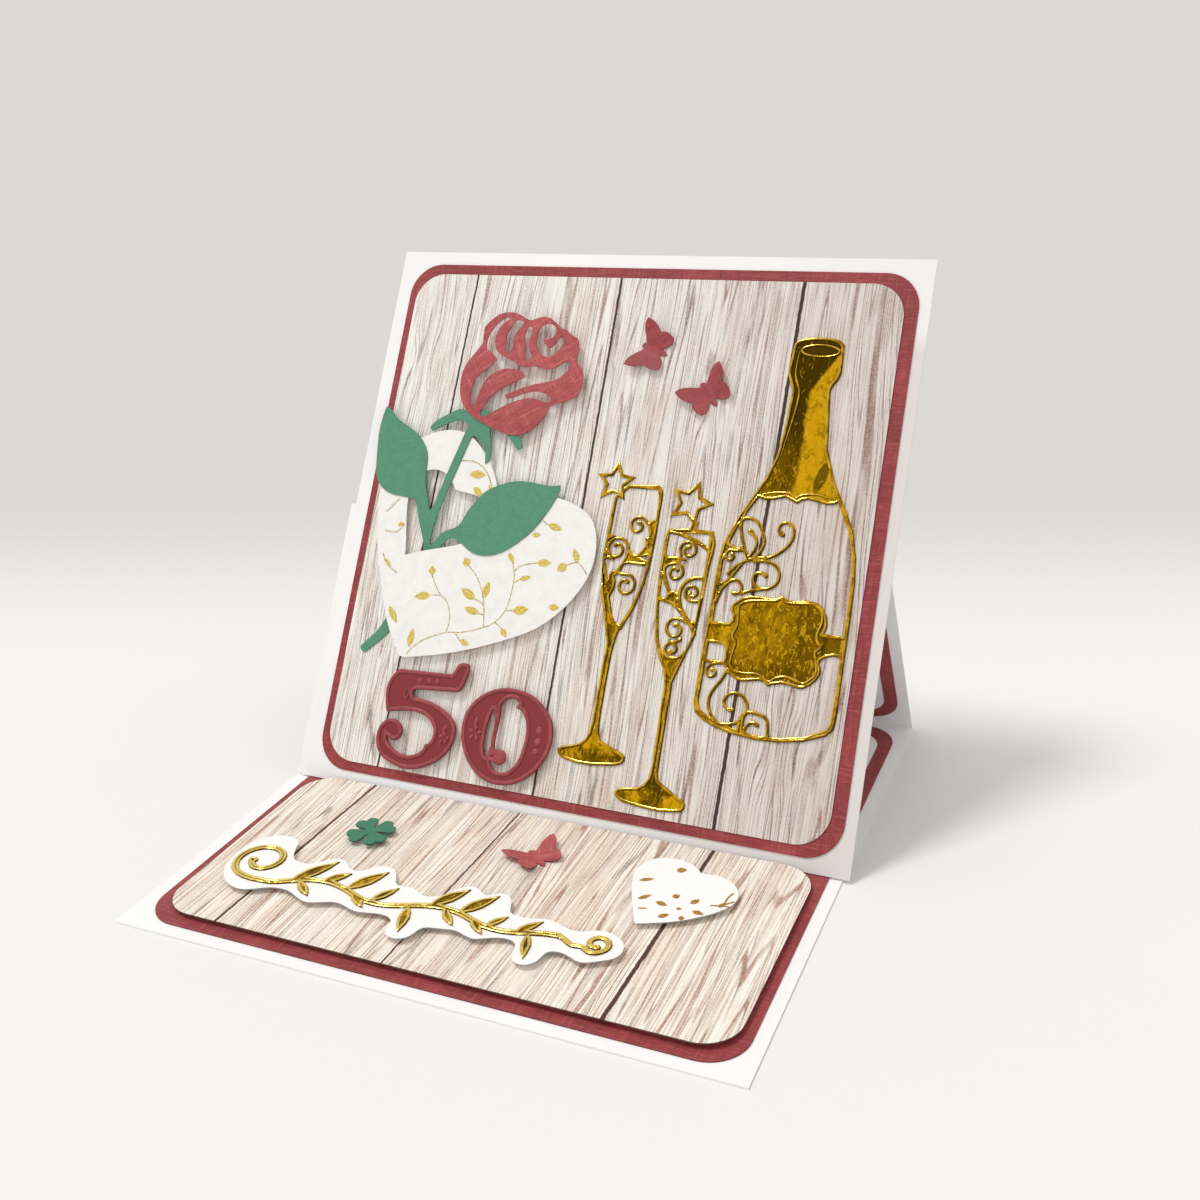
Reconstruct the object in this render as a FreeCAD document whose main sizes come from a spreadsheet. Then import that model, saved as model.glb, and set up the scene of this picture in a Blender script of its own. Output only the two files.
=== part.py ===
import FreeCAD, Part
import math
import os
import Sketcher
from FreeCAD import Vector

# Square easel card: a folded sheet stands a glued front panel up, and die-cut pieces are built up in layers.
# Origin at the middle of the base sheet's underside, +Z up, -Y towards the reader. Millimetres and degrees.

doc = FreeCAD.newDocument("GreetingCard")

# Driving sizes
sizes = {
    "cardSide": 150,          # both the base and the front panel are square
    "boardThick": 0.4,        # pearl card of the base sheet and the front panel
    "legLength": 75,          # back fold up to the apex fold
    "leanAngle": 58.5,        # front panel and leg against the base
    "flapShort": 0.5,         # trimmed off the flap so that it clears the base mat
    "foldRound": 0.25,        # outside of the back fold
    "panelShift": 1.7,        # front panel glued on this far to the right
    "paperThick": 0.3,        # mats, printed sheets and die-cuts
    "foilThick": 0.25,        # mirror card
    "foamThick": 1.2,         # foam tape
    "matSide": 143,
    "matCorner": 9,
    "frontMatRight": 0.7,     # mat's middle, right of the panel's
    "frontMatUp": 74.7,       # mat's middle, above the panel's foot
    "baseMatRight": 0.5,
    "baseMatBack": -0.3,
    "printSide": 137.5,
    "printCorner": 8.5,
    "frontPrintRight": 0.15,
    "frontPrintUp": 74.5,
    "basePrintDeep": 64,
    "basePrintRight": 1,
    "basePrintGap": 0.28,     # from its back edge to the front panel's foot
    "drawnRight": 1,          # middle of the raised print in the outlines of what lies on it
    "drawnBack": -37,
    "noteWide": 136,
    "noteDeep": 61.5,
    "noteCorner": 7,
    "baseNoteBack": 35.5,
    "legMatTall": 68,
    "padSide": 5,             # foam squares
    "stripWide": 4,           # foam strips under the printed base sheet
    "numeralPad": 3,          # foam squares that fit inside a numeral's strokes
    "wingLift": 15,           # each wing bent up from the body
    "wingSpine": 1.5,         # flat strip between the two wing bends, glued down
    "wingReach": 10,          # half the blank that a butterfly is cut from
    "rampStart": -0.5,        # where the rose stem starts to climb onto the heart
    "rampLong": 7,
    "rampTurn": 26.7,         # climb direction, away from straight up the panel
    "stripReach": 120,        # blank that a bent die-cut is cut from
    "bandWide": 1,            # gold rim of a glass
    "curlWide": 0.85,         # gold scroll line
    "beadSize": 1.2,          # bead at the end of a scroll
    "beadSides": 8,
    "foilChord": 0.1,         # foil outlines are chords that follow their curves this closely
    "paperChord": 0.04,       # and so are those of paper die-cuts
    "starSize": 5.6,
}
sheet = doc.addObject("Spreadsheet::Sheet", "Sizes")
for row, (name, value) in enumerate(sizes.items(), start=1):
    sheet.set("A%d" % row, name)
    sheet.set("B%d" % row, str(value))
    sheet.setAlias("B%d" % row, name)
doc.recompute()


def size(name):
    return float(sheet.get(name))


# Heights above the front panel's white face, and above the underside of the base
onMat = "Sizes.paperThick"
onPrint = "2 * Sizes.paperThick"
onFoam = "2 * Sizes.paperThick + Sizes.foamThick"
onHeart = "3 * Sizes.paperThick + Sizes.foamThick"
onSepals = "4 * Sizes.paperThick + Sizes.foamThick"
baseOnMat = "Sizes.boardThick + Sizes.paperThick"
baseUnderPrint = baseOnMat + " + Sizes.foamThick"

# Heights above the underside of the raised print
raisedOnPrint = "Sizes.paperThick"
raisedOnFoam = "Sizes.paperThick + Sizes.foamThick"
raisedOnBacking = "2 * Sizes.paperThick + Sizes.foamThick"

# Fold lines of the easel sheet, side view: y back and z up
foldBack = "(Sizes.cardSide / 2 - Sizes.boardThick / tan(Sizes.leanAngle / 2))"
apexBack = foldBack + " - Sizes.legLength * cos(Sizes.leanAngle)"
apexUp = "Sizes.boardThick + Sizes.legLength * sin(Sizes.leanAngle)"
flapBack = foldBack + " - (2 * Sizes.legLength - Sizes.flapShort) * cos(Sizes.leanAngle)"
flapUp = "Sizes.boardThick + Sizes.flapShort * sin(Sizes.leanAngle)"

# Foot of the front panel's white face, and the raised print in front of it
footRise = "(Sizes.paperThick + Sizes.boardThick * cos(Sizes.leanAngle))"
footUp = "Sizes.boardThick + " + footRise
footBack = "(%s - 2 * Sizes.legLength * cos(Sizes.leanAngle) + %s / tan(Sizes.leanAngle)" % (foldBack, footRise)
footBack += " - 2 * Sizes.boardThick / sin(Sizes.leanAngle))"
printBack = footBack + " - Sizes.basePrintGap - Sizes.basePrintDeep / 2"

parts = []


def newBody(label):
    body = doc.addObject("PartDesign::Body", label)
    body.Label = label
    return body


def newSketch(body, name, role="XY_Plane"):
    plane = [feature for feature in body.Origin.OriginFeatures if feature.Role == role][0]
    sketch = body.newObject("Sketcher::SketchObject", name)
    sketch.AttachmentSupport = (plane, [""])
    sketch.MapMode = "FlatFace"
    return sketch


def newPad(body, sketch, thick, middle=False):
    pad = body.newObject("PartDesign::Pad", body.Name + "_pad")
    pad.Profile = sketch
    pad.setExpression("Length", thick)
    if middle:
        pad.SideType = "Symmetric"
    body.Tip = pad
    return pad


def drawLoop(sketch, stretches):
    points = chordPoints(stretches, size("paperChord"))
    lines = [Part.LineSegment(points[i - 1], points[i]) for i in range(len(points))]
    sketch.addGeometry(lines, False)


def loopEdges(stretches):
    # each stretch runs on from the last: one point is a straight edge, more are a smooth one
    if len(stretches) == 1:
        curve = Part.BSplineCurve()
        curve.interpolate([Vector(u, v, 0) for u, v in stretches[0]], PeriodicFlag=True)
        return [curve]
    edges = []
    start = stretches[-1][-1]
    for stretch in stretches:
        points = [Vector(u, v, 0) for u, v in [start] + stretch]
        if len(points) == 2:
            edges.append(Part.LineSegment(points[0], points[1]))
        else:
            curve = Part.BSplineCurve()
            curve.interpolate(points)
            edges.append(curve)
        start = stretch[-1]
    return edges


def chordPoints(stretches, gap):
    # outlines are chords a little off the curve, so that they join cleanly
    points = []
    for edge in loopEdges(stretches):
        points += edge.toShape().discretize(Deflection=gap)[:-1]
    return points


def loopFace(stretches):
    points = chordPoints(stretches, size("foilChord"))
    return Part.Face(Part.makePolygon(points + points[:1]))


def onFront(piece, height, right="0", up="0", turn=0):
    piece.setExpression("Placement", "front_panel.Placement * placement(vector(%s; %s; %s); "
                        "rotation(vector(0; 0; 1); %s))" % (right, up, height, turn))
    parts.append(piece)


def onBase(piece, height, right, back):
    piece.setExpression("Placement", "easel_sheet.Placement * placement(vector(%s; %s; %s); "
                        "rotation(vector(0; 0; 1); 0))" % (right, back, height))
    parts.append(piece)


def onRaised(piece, height, right="0", back="0", turn=0):
    piece.setExpression("Placement", "base_wood_print.Placement * placement(vector(%s - Sizes.drawnRight; "
                        "%s - Sizes.drawnBack; %s); rotation(vector(0; 0; 1); %s))" % (right, back, height, turn))
    parts.append(piece)


def onLeg(piece, height, right, up):
    piece.setExpression("Placement", "easel_sheet.Placement * placement(vector(0; %s; Sizes.boardThick); "
                        "rotation(vector(1; 0; 0); 180 - Sizes.leanAngle)) * placement(vector(%s; %s; %s); "
                        "rotation(vector(0; 0; 1); 0))" % (foldBack, right, up, height))
    parts.append(piece)


def rectangle(sketch, wide, tall, startWide, startTall):
    x = startWide / 2
    y = startTall / 2
    corners = [Vector(-x, -y, 0), Vector(x, -y, 0), Vector(x, y, 0), Vector(-x, y, 0)]
    for i in range(4):
        sketch.addGeometry(Part.LineSegment(corners[i], corners[(i + 1) % 4]), False)
    for i in range(4):
        sketch.addConstraint(Sketcher.Constraint("Coincident", i, 2, (i + 1) % 4, 1))
    for i in (0, 2):
        sketch.addConstraint(Sketcher.Constraint("Horizontal", i))
        sketch.addConstraint(Sketcher.Constraint("Vertical", i + 1))
    sketch.addConstraint(Sketcher.Constraint("Symmetric", 0, 1, 1, 2, -1, 1))
    across = sketch.addConstraint(Sketcher.Constraint("DistanceX", 0, 1, 0, 2, startWide))
    along = sketch.addConstraint(Sketcher.Constraint("DistanceY", 1, 1, 1, 2, startTall))
    sketch.setExpression("Constraints[%d]" % across, wide)
    sketch.setExpression("Constraints[%d]" % along, tall)


def flatSheet(label, wide, tall, corner, thick):
    # rectangle in the middle of its own plane, with round corners where the real sheet has them
    body = newBody(label)
    sketch = newSketch(body, label + "_outline")
    rectangle(sketch, "Sizes." + wide, "Sizes." + tall, size(wide), size(tall))
    pad = newPad(body, sketch, thick)
    if corner:
        doc.recompute()
        upright = ["Edge%d" % (i + 1) for i, edge in enumerate(pad.Shape.Edges)
                   if abs(edge.tangentAt(edge.FirstParameter).z) > 0.9]
        fillet = body.newObject("PartDesign::Fillet", label + "_corners")
        fillet.Base = (pad, upright)
        fillet.setExpression("Radius", "Sizes." + corner)
        body.Tip = fillet
    return body


def dieCut(label, loops, thick="Sizes.paperThick", separate=False):
    body = newBody(label)
    if separate:
        body.AllowCompound = True
    sketch = newSketch(body, label + "_outline")
    for loop in loops:
        drawLoop(sketch, loop)
    newPad(body, sketch, thick)
    return body


def block(right, up, wide, tall):
    x = wide / 2
    y = tall / 2
    return [[(right - x, up - y)], [(right + x, up - y)], [(right + x, up + y)], [(right - x, up + y)]]


def squarePads(label, places, side, thick="Sizes.foamThick"):
    loops = [block(right, up, size(side), size(side)) for right, up in places]
    return dieCut(label, loops, thick, separate=len(places) > 1)


# Easel sheet: base, leg and flap in one fold-round strip, drawn from the side
def easelSheet():
    body = newBody("easel_sheet")
    sketch = newSketch(body, "easel_side", "YZ_Plane")
    wall = "Sizes.boardThick"
    corners = [
        ("-Sizes.cardSide / 2", "0"),
        ("Sizes.cardSide / 2", "0"),
        (apexBack, apexUp + " + " + wall + " / cos(Sizes.leanAngle)"),
        (flapBack + " - " + wall + " * sin(Sizes.leanAngle)",
         flapUp + " + " + wall + " * cos(Sizes.leanAngle)"),
        (flapBack, flapUp),
        (apexBack, apexUp),
        (foldBack, wall),
        ("-Sizes.cardSide / 2", wall),
    ]
    half = size("cardSide") / 2
    lean = math.radians(size("leanAngle"))
    leg = size("legLength")
    start = [(-half, 0), (half, 0), (half - leg * math.cos(lean), leg), (-5, 1.5), (-4, 1),
             (half - leg * math.cos(lean), leg - 1), (half - 1, 0.4), (-half, 0.4)]
    points = [Vector(y, z, 0) for y, z in start]
    count = len(points)
    for i in range(count):
        sketch.addGeometry(Part.LineSegment(points[i], points[(i + 1) % count]), False)
    for i in range(count):
        sketch.addConstraint(Sketcher.Constraint("Coincident", i, 2, (i + 1) % count, 1))
    for i, (back, up) in enumerate(corners):
        for kind, place, value in (("DistanceX", back, points[i].x), ("DistanceY", up, points[i].y)):
            number = sketch.addConstraint(Sketcher.Constraint(kind, -1, 1, i, 1, value))
            sketch.setExpression("Constraints[%d]" % number, place)
    pad = newPad(body, sketch, "Sizes.cardSide", middle=True)
    doc.recompute()
    heel = size("cardSide") / 2
    backFold = ["Edge%d" % (i + 1) for i, edge in enumerate(pad.Shape.Edges)
                if edge.BoundBox.YMin > heel - 0.01 and edge.BoundBox.ZMax < 0.01]
    fillet = body.newObject("PartDesign::Fillet", "back_fold")
    fillet.Base = (pad, backFold)
    fillet.setExpression("Radius", "Sizes.foldRound")
    body.Tip = fillet
    body.setExpression("Placement", "placement(vector(0; 0; 0); rotation(vector(1; 0; 0); 0))")
    parts.append(body)
    return body


# Front panel: stands on the base mat, glued to the flap, its white face at height nought of its own frame
def frontPanel():
    body = newBody("front_panel")
    sketch = newSketch(body, "front_panel_outline")
    rectangle(sketch, "Sizes.cardSide", "Sizes.cardSide", size("cardSide"), size("cardSide"))
    sketch.setExpression("AttachmentOffset.Base.y", "Sizes.cardSide / 2")
    pad = newPad(body, sketch, "Sizes.boardThick")
    pad.Reversed = True
    body.setExpression("Placement", "easel_sheet.Placement * placement(vector(Sizes.panelShift; %s; %s); "
                       "rotation(vector(1; 0; 0); Sizes.leanAngle))" % (footBack, footUp))
    parts.append(body)
    return body


# Flat layers under the die-cuts
def layers():
    frontMat = flatSheet("front_mat", "matSide", "matSide", "matCorner", "Sizes.paperThick")
    onFront(frontMat, "0", "Sizes.frontMatRight", "Sizes.frontMatUp")
    frontPrint = flatSheet("front_wood_print", "printSide", "printSide", "printCorner", "Sizes.paperThick")
    onFront(frontPrint, onMat, "Sizes.frontPrintRight", "Sizes.frontPrintUp")
    baseMat = flatSheet("base_mat", "matSide", "matSide", "matCorner", "Sizes.paperThick")
    onBase(baseMat, "Sizes.boardThick", "Sizes.baseMatRight", "Sizes.baseMatBack")
    basePrint = flatSheet("base_wood_print", "printSide", "basePrintDeep", "printCorner", "Sizes.paperThick")
    onBase(basePrint, baseUnderPrint, "Sizes.basePrintRight", printBack)
    baseNote = flatSheet("base_note_panel", "noteWide", "noteDeep", "noteCorner", "Sizes.paperThick")
    onBase(baseNote, baseOnMat, "Sizes.baseMatRight", "Sizes.baseNoteBack")
    legMat = flatSheet("leg_mat", "matSide", "legMatTall", "matCorner", "Sizes.paperThick")
    onLeg(legMat, "0", "Sizes.baseMatRight", "Sizes.legLength / 2")
    legNote = flatSheet("leg_note_panel", "noteWide", "noteDeep", "noteCorner", "Sizes.paperThick")
    onLeg(legNote, "Sizes.paperThick", "Sizes.baseMatRight", "Sizes.legLength / 2")
    # foam strips along the long edges and the middle of the raised print
    reach = size("printSide") - 2 * size("printCorner")
    edge = size("basePrintDeep") / 2 - size("stripWide")
    strips = [block(0, place, reach, size("stripWide")) for place in (-edge, 0, edge)]
    basePrintFoam = dieCut("base_print_foam", strips, "Sizes.foamThick", separate=True)
    onBase(basePrintFoam, baseOnMat, "Sizes.basePrintRight", printBack)


# Heart: leans to the left, with a smaller heart cut out of it for the rose stem
def heart():
    outside = [
        [(-42, 36.6), (-34.5, 38.5), (-27, 41), (-20, 43.8), (-13.5, 47), (-7.5, 52), (-3, 58), (-0.4, 64.5),
         (-0.3, 71), (-2.6, 77), (-7.5, 80.4), (-13.5, 82), (-20, 82.6), (-26, 82.2), (-30.6, 80.8)],
        [(-32, 85.1), (-34.5, 89.4), (-38.3, 93.8), (-43, 97.2), (-49, 98), (-55, 96.3), (-61.5, 92.3),
         (-65.8, 87), (-66.9, 80), (-65.8, 71), (-63.9, 62.9), (-60.8, 54), (-56.4, 43.5), (-53.4, 38.6),
         (-51, 35.4)],
        [(-49.4, 35.2)],
    ]
    window = [
        [(-50.4, 64), (-45.1, 65.4)],
        [(-39.5, 66.9), (-34.8, 69.3), (-31.8, 73.2), (-32.4, 77.6), (-36.2, 80.3), (-40, 81.1),
         (-43.5, 81.6)],
        [(-44.9, 83.6), (-47.3, 85.8), (-50.3, 86.7), (-53.7, 86.1), (-56.8, 83.6), (-57.6, 79.5),
         (-56.6, 70.8),
         (-55.2, 62.5)],
    ]
    onFront(dieCut("heart", [outside, window]), onFoam)
    pads = squarePads("heart_foam", [(-47, 44), (-34, 50), (-60, 66), (-15, 58), (-12, 74), (-60, 88),
                     (-37, 88)],
                      "padSide")
    onFront(pads, onPrint)


# Rose stem: one cut piece with two leaves and three sepals, bent up from the print onto the heart.
# It is the outline, cut through a strip that is folded along the two lines where the stem climbs.
def roseStem():
    outline = [
        [(-67.8, 102.2), (-65.6, 100.2), (-62.8, 98.6), (-59.4, 96.9), (-56.9, 94.9), (-54.5, 91.7),
         (-53.7, 88.3), (-53.2, 83.6), (-52.2, 80.5), (-50.9, 77.2), (-50.2, 75.3)],
        [(-49.4, 76)],
        [(-48.6, 78.6), (-47.7, 82.5), (-46.5, 87.5), (-45.3, 92.2), (-44, 97), (-43.3, 99.4)],
        [(-44.9, 100.9), (-47.2, 100.7), (-49.6, 99.7), (-51.9, 98.4), (-54, 97.4)],
        [(-54.7, 98), (-53.8, 99.8), (-51.6, 101.4), (-48.9, 103), (-46.7, 104), (-44.7, 103.7)],
        [(-41, 104.5), (-35, 102.6), (-30, 100.6), (-27.6, 97.7), (-26.5, 96), (-26, 94.5)],
        [(-27.3, 93.9)],
        [(-28.9, 95.5), (-31, 97.6), (-33.6, 99), (-36.4, 99.6)],
        [(-36.2, 97.2), (-35.3, 94.6), (-35, 92), (-35.2, 89.9)],
        [(-36.1, 89.4)],
        [(-36.4, 91.3), (-37, 93.6), (-38.2, 95.1), (-39.7, 96.3), (-41.1, 96.9)],
        [(-41.8, 96)],
        [(-43.2, 91), (-44.5, 86.2), (-45.7, 81.6), (-46.9, 76.9), (-47.9, 72), (-48.6, 67)],
        [(-48.2, 66.1), (-47.3, 66.8)],
        [(-46.1, 68.4), (-44.6, 69.8), (-42.8, 70.7), (-41, 71.5), (-39.9, 72.8), (-39, 75.2), (-37.2, 78.3),
         (-34.8, 81.4), (-31.1, 83.7), (-27.6, 85), (-23.9, 85.5), (-20, 85.3), (-16.7, 84.9), (-13.1, 85.3)],
        [(-12.9, 84)],
        [(-14, 80.8), (-16, 76.8), (-18.4, 73), (-21.6, 69.7), (-25, 66.9), (-28.4, 65.2), (-31.8, 64.6),
         (-35.1, 65.1), (-37.6, 66.5), (-40.1, 68), (-42.2, 68.3), (-43.8, 67.2), (-45.4, 65.6), (-47, 62.6)],
        [(-47.9, 59.5), (-49.7, 53.5), (-52.5, 47.3), (-55.8, 41.9), (-58.2, 39.1), (-61.7, 35.6)],
        [(-63.1, 35.2), (-64, 36), (-63.7, 37)],
        [(-61.7, 39.2), (-59.6, 41.7), (-57.9, 45.2), (-54.6, 50), (-52.4, 55), (-51.1, 60), (-50.6, 66.3)],
        [(-50.5, 70.5), (-51.1, 74), (-52.6, 76.9), (-55.5, 78.1), (-60.3, 78.5), (-64.6, 79.4),
         (-68.1, 82.4),
         (-69.9, 89), (-70.7, 96.5), (-69.9, 103.4)],
    ]
    blank = newBody("rose_stem_blank")
    sketch = newSketch(blank, "rose_stem_outline")
    drawLoop(sketch, outline)
    newPad(blank, sketch, "2 * Sizes.paperThick + Sizes.foamThick")
    strip = foldedStrip("rose_stem_fold", rampProfile)
    # the climb starts at the foot of the heart's window
    strip.setExpression("Placement", "placement(vector(-49; 64; 0); rotation(vector(0; 0; 1); -Sizes.rampTurn))")
    onFront(common("rose_stem", blank, strip), onPrint)


def foldedStrip(label, profile):
    # strip folded in a side profile, which runs along Y, and as wide as its blank
    body = newBody(label)
    sketch = newSketch(body, label + "_side", "YZ_Plane")
    points = profile()
    count = len(points)
    for i in range(count):
        sketch.addGeometry(Part.LineSegment(points[i][0], points[(i + 1) % count][0]), False)
    for i in range(count):
        sketch.addConstraint(Sketcher.Constraint("Coincident", i, 2, (i + 1) % count, 1))
    for i, (start, along, up) in enumerate(points):
        for kind, place, value in (("DistanceX", along, start.x), ("DistanceY", up, start.y)):
            number = sketch.addConstraint(Sketcher.Constraint(kind, -1, 1, i, 1, value))
            sketch.setExpression("Constraints[%d]" % number, place)
    newPad(body, sketch, "Sizes.stripReach", middle=True)
    return body


def rampProfile():
    climb = size("paperThick") + size("foamThick")
    thick = size("paperThick")
    begin = size("rampStart")
    finish = begin + size("rampLong")
    half = size("stripReach") / 2
    lower = [(-half, 0, "-Sizes.stripReach / 2", "0"), (begin, 0, "Sizes.rampStart", "0"),
             (finish, climb, "Sizes.rampStart + Sizes.rampLong", "Sizes.foamThick + Sizes.paperThick"),
             (half, climb, "Sizes.stripReach / 2", "Sizes.foamThick + Sizes.paperThick")]
    points = [(Vector(y, z, 0), along, up) for y, z, along, up in lower]
    for y, z, along, up in reversed(lower):
        points.append((Vector(y, z + thick, 0), along, up + " + Sizes.paperThick"))
    return points


def wingProfile():
    slope = math.tan(math.radians(size("wingLift")))
    spine = size("wingSpine") / 2
    half = size("wingReach")
    rise = (half - spine) * slope
    riseText = "(Sizes.wingReach - Sizes.wingSpine / 2) * tan(Sizes.wingLift)"
    lower = [(-half, rise, "-Sizes.wingReach", riseText), (-spine, 0, "-Sizes.wingSpine / 2", "0"),
             (spine, 0, "Sizes.wingSpine / 2", "0"), (half, rise, "Sizes.wingReach", riseText)]
    points = [(Vector(y, z, 0), along, up) for y, z, along, up in lower]
    for y, z, along, up in reversed(lower):
        points.append((Vector(y, z + size("paperThick"), 0), along, up + " + Sizes.paperThick"))
    return points


def common(label, base, tool):
    piece = doc.addObject("Part::Common", label)
    piece.Label = label
    piece.Base = base
    piece.Tool = tool
    return piece


# Rose bloom: one cut piece, its petals parted by open slots
def roseBloom():
    outside = [
        [(-42, 129.6), (-40, 131.2), (-37.5, 131.9), (-34.8, 131.7), (-32.7, 130.8), (-30.2, 129.9),
         (-28, 130.6),
         (-26, 131), (-23.9, 130.3), (-20.4, 127.8)],
        [(-19.2, 127.5), (-17.6, 126.4), (-15.6, 125.4)],
        [(-14.9, 124), (-14.7, 122), (-14.8, 119.8)],
        [(-14.2, 118.4), (-12.5, 116.6), (-11.9, 113.6), (-12.2, 110.8), (-13.6, 108.9), (-16.6, 107.6),
         (-20, 106.2)],
        [(-20.8, 103.9), (-22.4, 101.4), (-24.6, 99.2), (-27.2, 97.9), (-30, 97.7), (-34, 98.5), (-40, 100.9),
         (-43.4, 102.7), (-46, 105.2), (-47.7, 109.2), (-48.1, 113), (-47.4, 116.4), (-45.8, 119.1),
         (-43.5, 122.8)],
        [(-43.7, 125.2), (-43.8, 127.4)],
    ]
    gap = [
        [(-39.3, 127), (-39.9, 124.6), (-39.6, 122.4), (-38.5, 120.6), (-36, 119.3), (-32.8, 117.8),
         (-29.6, 116.7),
         (-26.8, 117.1), (-24, 116.5), (-21.2, 116.6), (-19.2, 117.8), (-17.7, 118.8), (-16.5, 118.5)],
        [(-16.3, 117.3), (-17.4, 115.4), (-19.4, 113.8), (-22.4, 112.8), (-26.4, 111.8), (-30, 110.4),
         (-33.8, 108.6)],
        [(-33.4, 107.8)],
        [(-30.8, 108.3), (-28, 109.5), (-25.4, 110.1), (-22.6, 109.8), (-20.1, 108.6)],
        [(-20.5, 107.4), (-21.7, 107.2), (-24, 107.9), (-26.6, 108.1), (-29.8, 107.3), (-33, 105.9),
         (-36, 104),
         (-38.2, 102.5)],
        [(-39.8, 102.5), (-40.2, 103.9)],
        [(-39, 106.4), (-37.2, 108.9), (-34.6, 110.9), (-31.6, 112.4), (-28.9, 114.1)],
        [(-30.4, 115.5), (-33, 116), (-35.4, 115.9), (-37.7, 115), (-39.8, 113.4), (-41.2, 111), (-41.9, 108),
         (-42.4, 105.7)],
        [(-43.2, 105.2), (-43.9, 106.2)],
        [(-44.3, 109.2), (-43.8, 112.1), (-42.2, 114.5), (-40, 116.5), (-38.2, 118.5)],
        [(-40, 120.1), (-42, 121.5)],
        [(-42.3, 123.8), (-41.6, 126.2), (-40, 128.6), (-37.6, 130.5)],
        [(-36.4, 130)],
    ]
    slot = [(-33.4, 129.8), (-32.1, 129), (-33.2, 127.2), (-34.4, 124.4), (-34.7, 120.8), (-35.4, 120.4),
            (-36.4, 122.8), (-36.5, 125.8), (-35.3, 128.6)]
    innerSlot = [(-30.2, 128.1), (-29.3, 127.5), (-29.5, 125), (-29.2, 122), (-28.3, 118.9), (-29.1, 118.6),
                 (-30.3, 121), (-31, 124.6), (-31, 127.2)]
    swirl = [
        [(-22.3, 125.9), (-23.7, 124.8), (-25.6, 124.7)],
        [(-24.4, 123), (-23.2, 122.3), (-22, 123.2), (-21.2, 124.7), (-20.4, 125.4)],
        [(-19.4, 124.9), (-19.8, 122.8), (-21, 121), (-22.7, 120), (-24.3, 119.9), (-26, 120.9),
         (-27.1, 122.8),
         (-27.5, 125.2), (-27.2, 127.4), (-26.1, 128.8), (-24.6, 129.1), (-22.9, 128.5), (-22.1, 127.2),
         (-22.1, 126.3)],
    ]
    onFront(dieCut("rose_bloom", [outside, gap, [slot], [innerSlot], swirl]), onSepals)
    tall = "2 * Sizes.paperThick + Sizes.foamThick"
    pads = squarePads("rose_bloom_foam", [(-17.5, 121.5), (-45.2, 114), (-15.6, 112.6)], "numeralPad", tall)
    onFront(pads, onPrint)


# Numerals five and nought: cut with curled ends and a bead
def numerals():
    five = [
        [(-51, 31), (-49.9, 32)],
        [(-34.3, 32.6)],
        [(-33.6, 33.8), (-33, 35.2), (-31.3, 36), (-29.6, 35.5)],
        [(-29.4, 33.8), (-30.1, 30.8), (-30.7, 29.1), (-31.9, 28.2)],
        [(-43.7, 27.3)],
        [(-44.7, 26.6), (-44, 25.2)],
        [(-40.1, 24.9), (-36.5, 24), (-33.1, 22.3), (-30.9, 20.3), (-30.1, 17.2), (-31, 13.4), (-33.3, 10.4),
         (-36.5, 8.2), (-40.2, 6.8), (-44.2, 6.5), (-47.8, 7.4), (-51, 9), (-52.7, 11.4), (-53.2, 14),
         (-52.6, 16.6), (-51, 18.3), (-49, 18.8), (-46.8, 18), (-45.7, 16.2), (-46.1, 14.2), (-47.5, 13.2),
         (-48.9, 13.4), (-50.2, 14.2)],
        [(-49.2, 12.5), (-47.1, 11), (-45, 10.2), (-42.5, 10.1), (-40.4, 10.8), (-38.9, 12), (-38.5, 13.5)],
        [(-37.5, 13.9)],
        [(-36.7, 15.2), (-36.5, 16.8), (-36.9, 18.3), (-38.2, 19.9), (-40.3, 21), (-42.8, 21.5), (-46, 21.3),
         (-49.2, 20.8), (-51.5, 20.3)],
    ]
    onFront(dieCut("numeral_five", [five]), onFoam)
    nought = [(-15.6, 31.4), (-20.8, 30.6), (-25.4, 27.8), (-28.2, 23.6), (-28.6, 18.4), (-26.6, 13),
              (-22.6, 8.8),
              (-17.6, 6.8), (-12.4, 7.3), (-7.6, 10.1), (-4.2, 14.6), (-2.9, 20.2), (-4.2, 25.2),
              (-7.4, 28.6),
              (-11, 30.6)]
    slit = [(-20.3, 25), (-19.7, 23), (-19.6, 18.6), (-19.9, 14.2), (-20.4, 13.2), (-21, 14), (-21.5, 18.2),
            (-21.2, 23)]
    opening = [
        [(-17.6, 28.1), (-16, 28.8), (-13.7, 27.9)],
        [(-14.2, 26.5)],
        [(-12.4, 25.8), (-11.1, 24), (-10.4, 20.5), (-10.7, 16), (-12, 12.3), (-14.3, 10.2), (-16.8, 10.1),
         (-19, 12.4)],
        [(-17.8, 12.1)],
        [(-16.2, 11.7), (-14.9, 12.7), (-14.7, 14.1), (-15.5, 15.3), (-17, 15.6), (-18.3, 15.2)],
        [(-18.6, 18), (-18.4, 22), (-18.5, 26.3)],
    ]
    onFront(dieCut("numeral_nought", [[nought], [slit], opening]), onFoam)
    pads = squarePads("numeral_foam", [(-48, 28.5), (-33.4, 15), (-43, 8.4), (-25, 19), (-7, 20), (-16, 8.4)],
                      "numeralPad")
    onFront(pads, onPrint)


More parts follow.
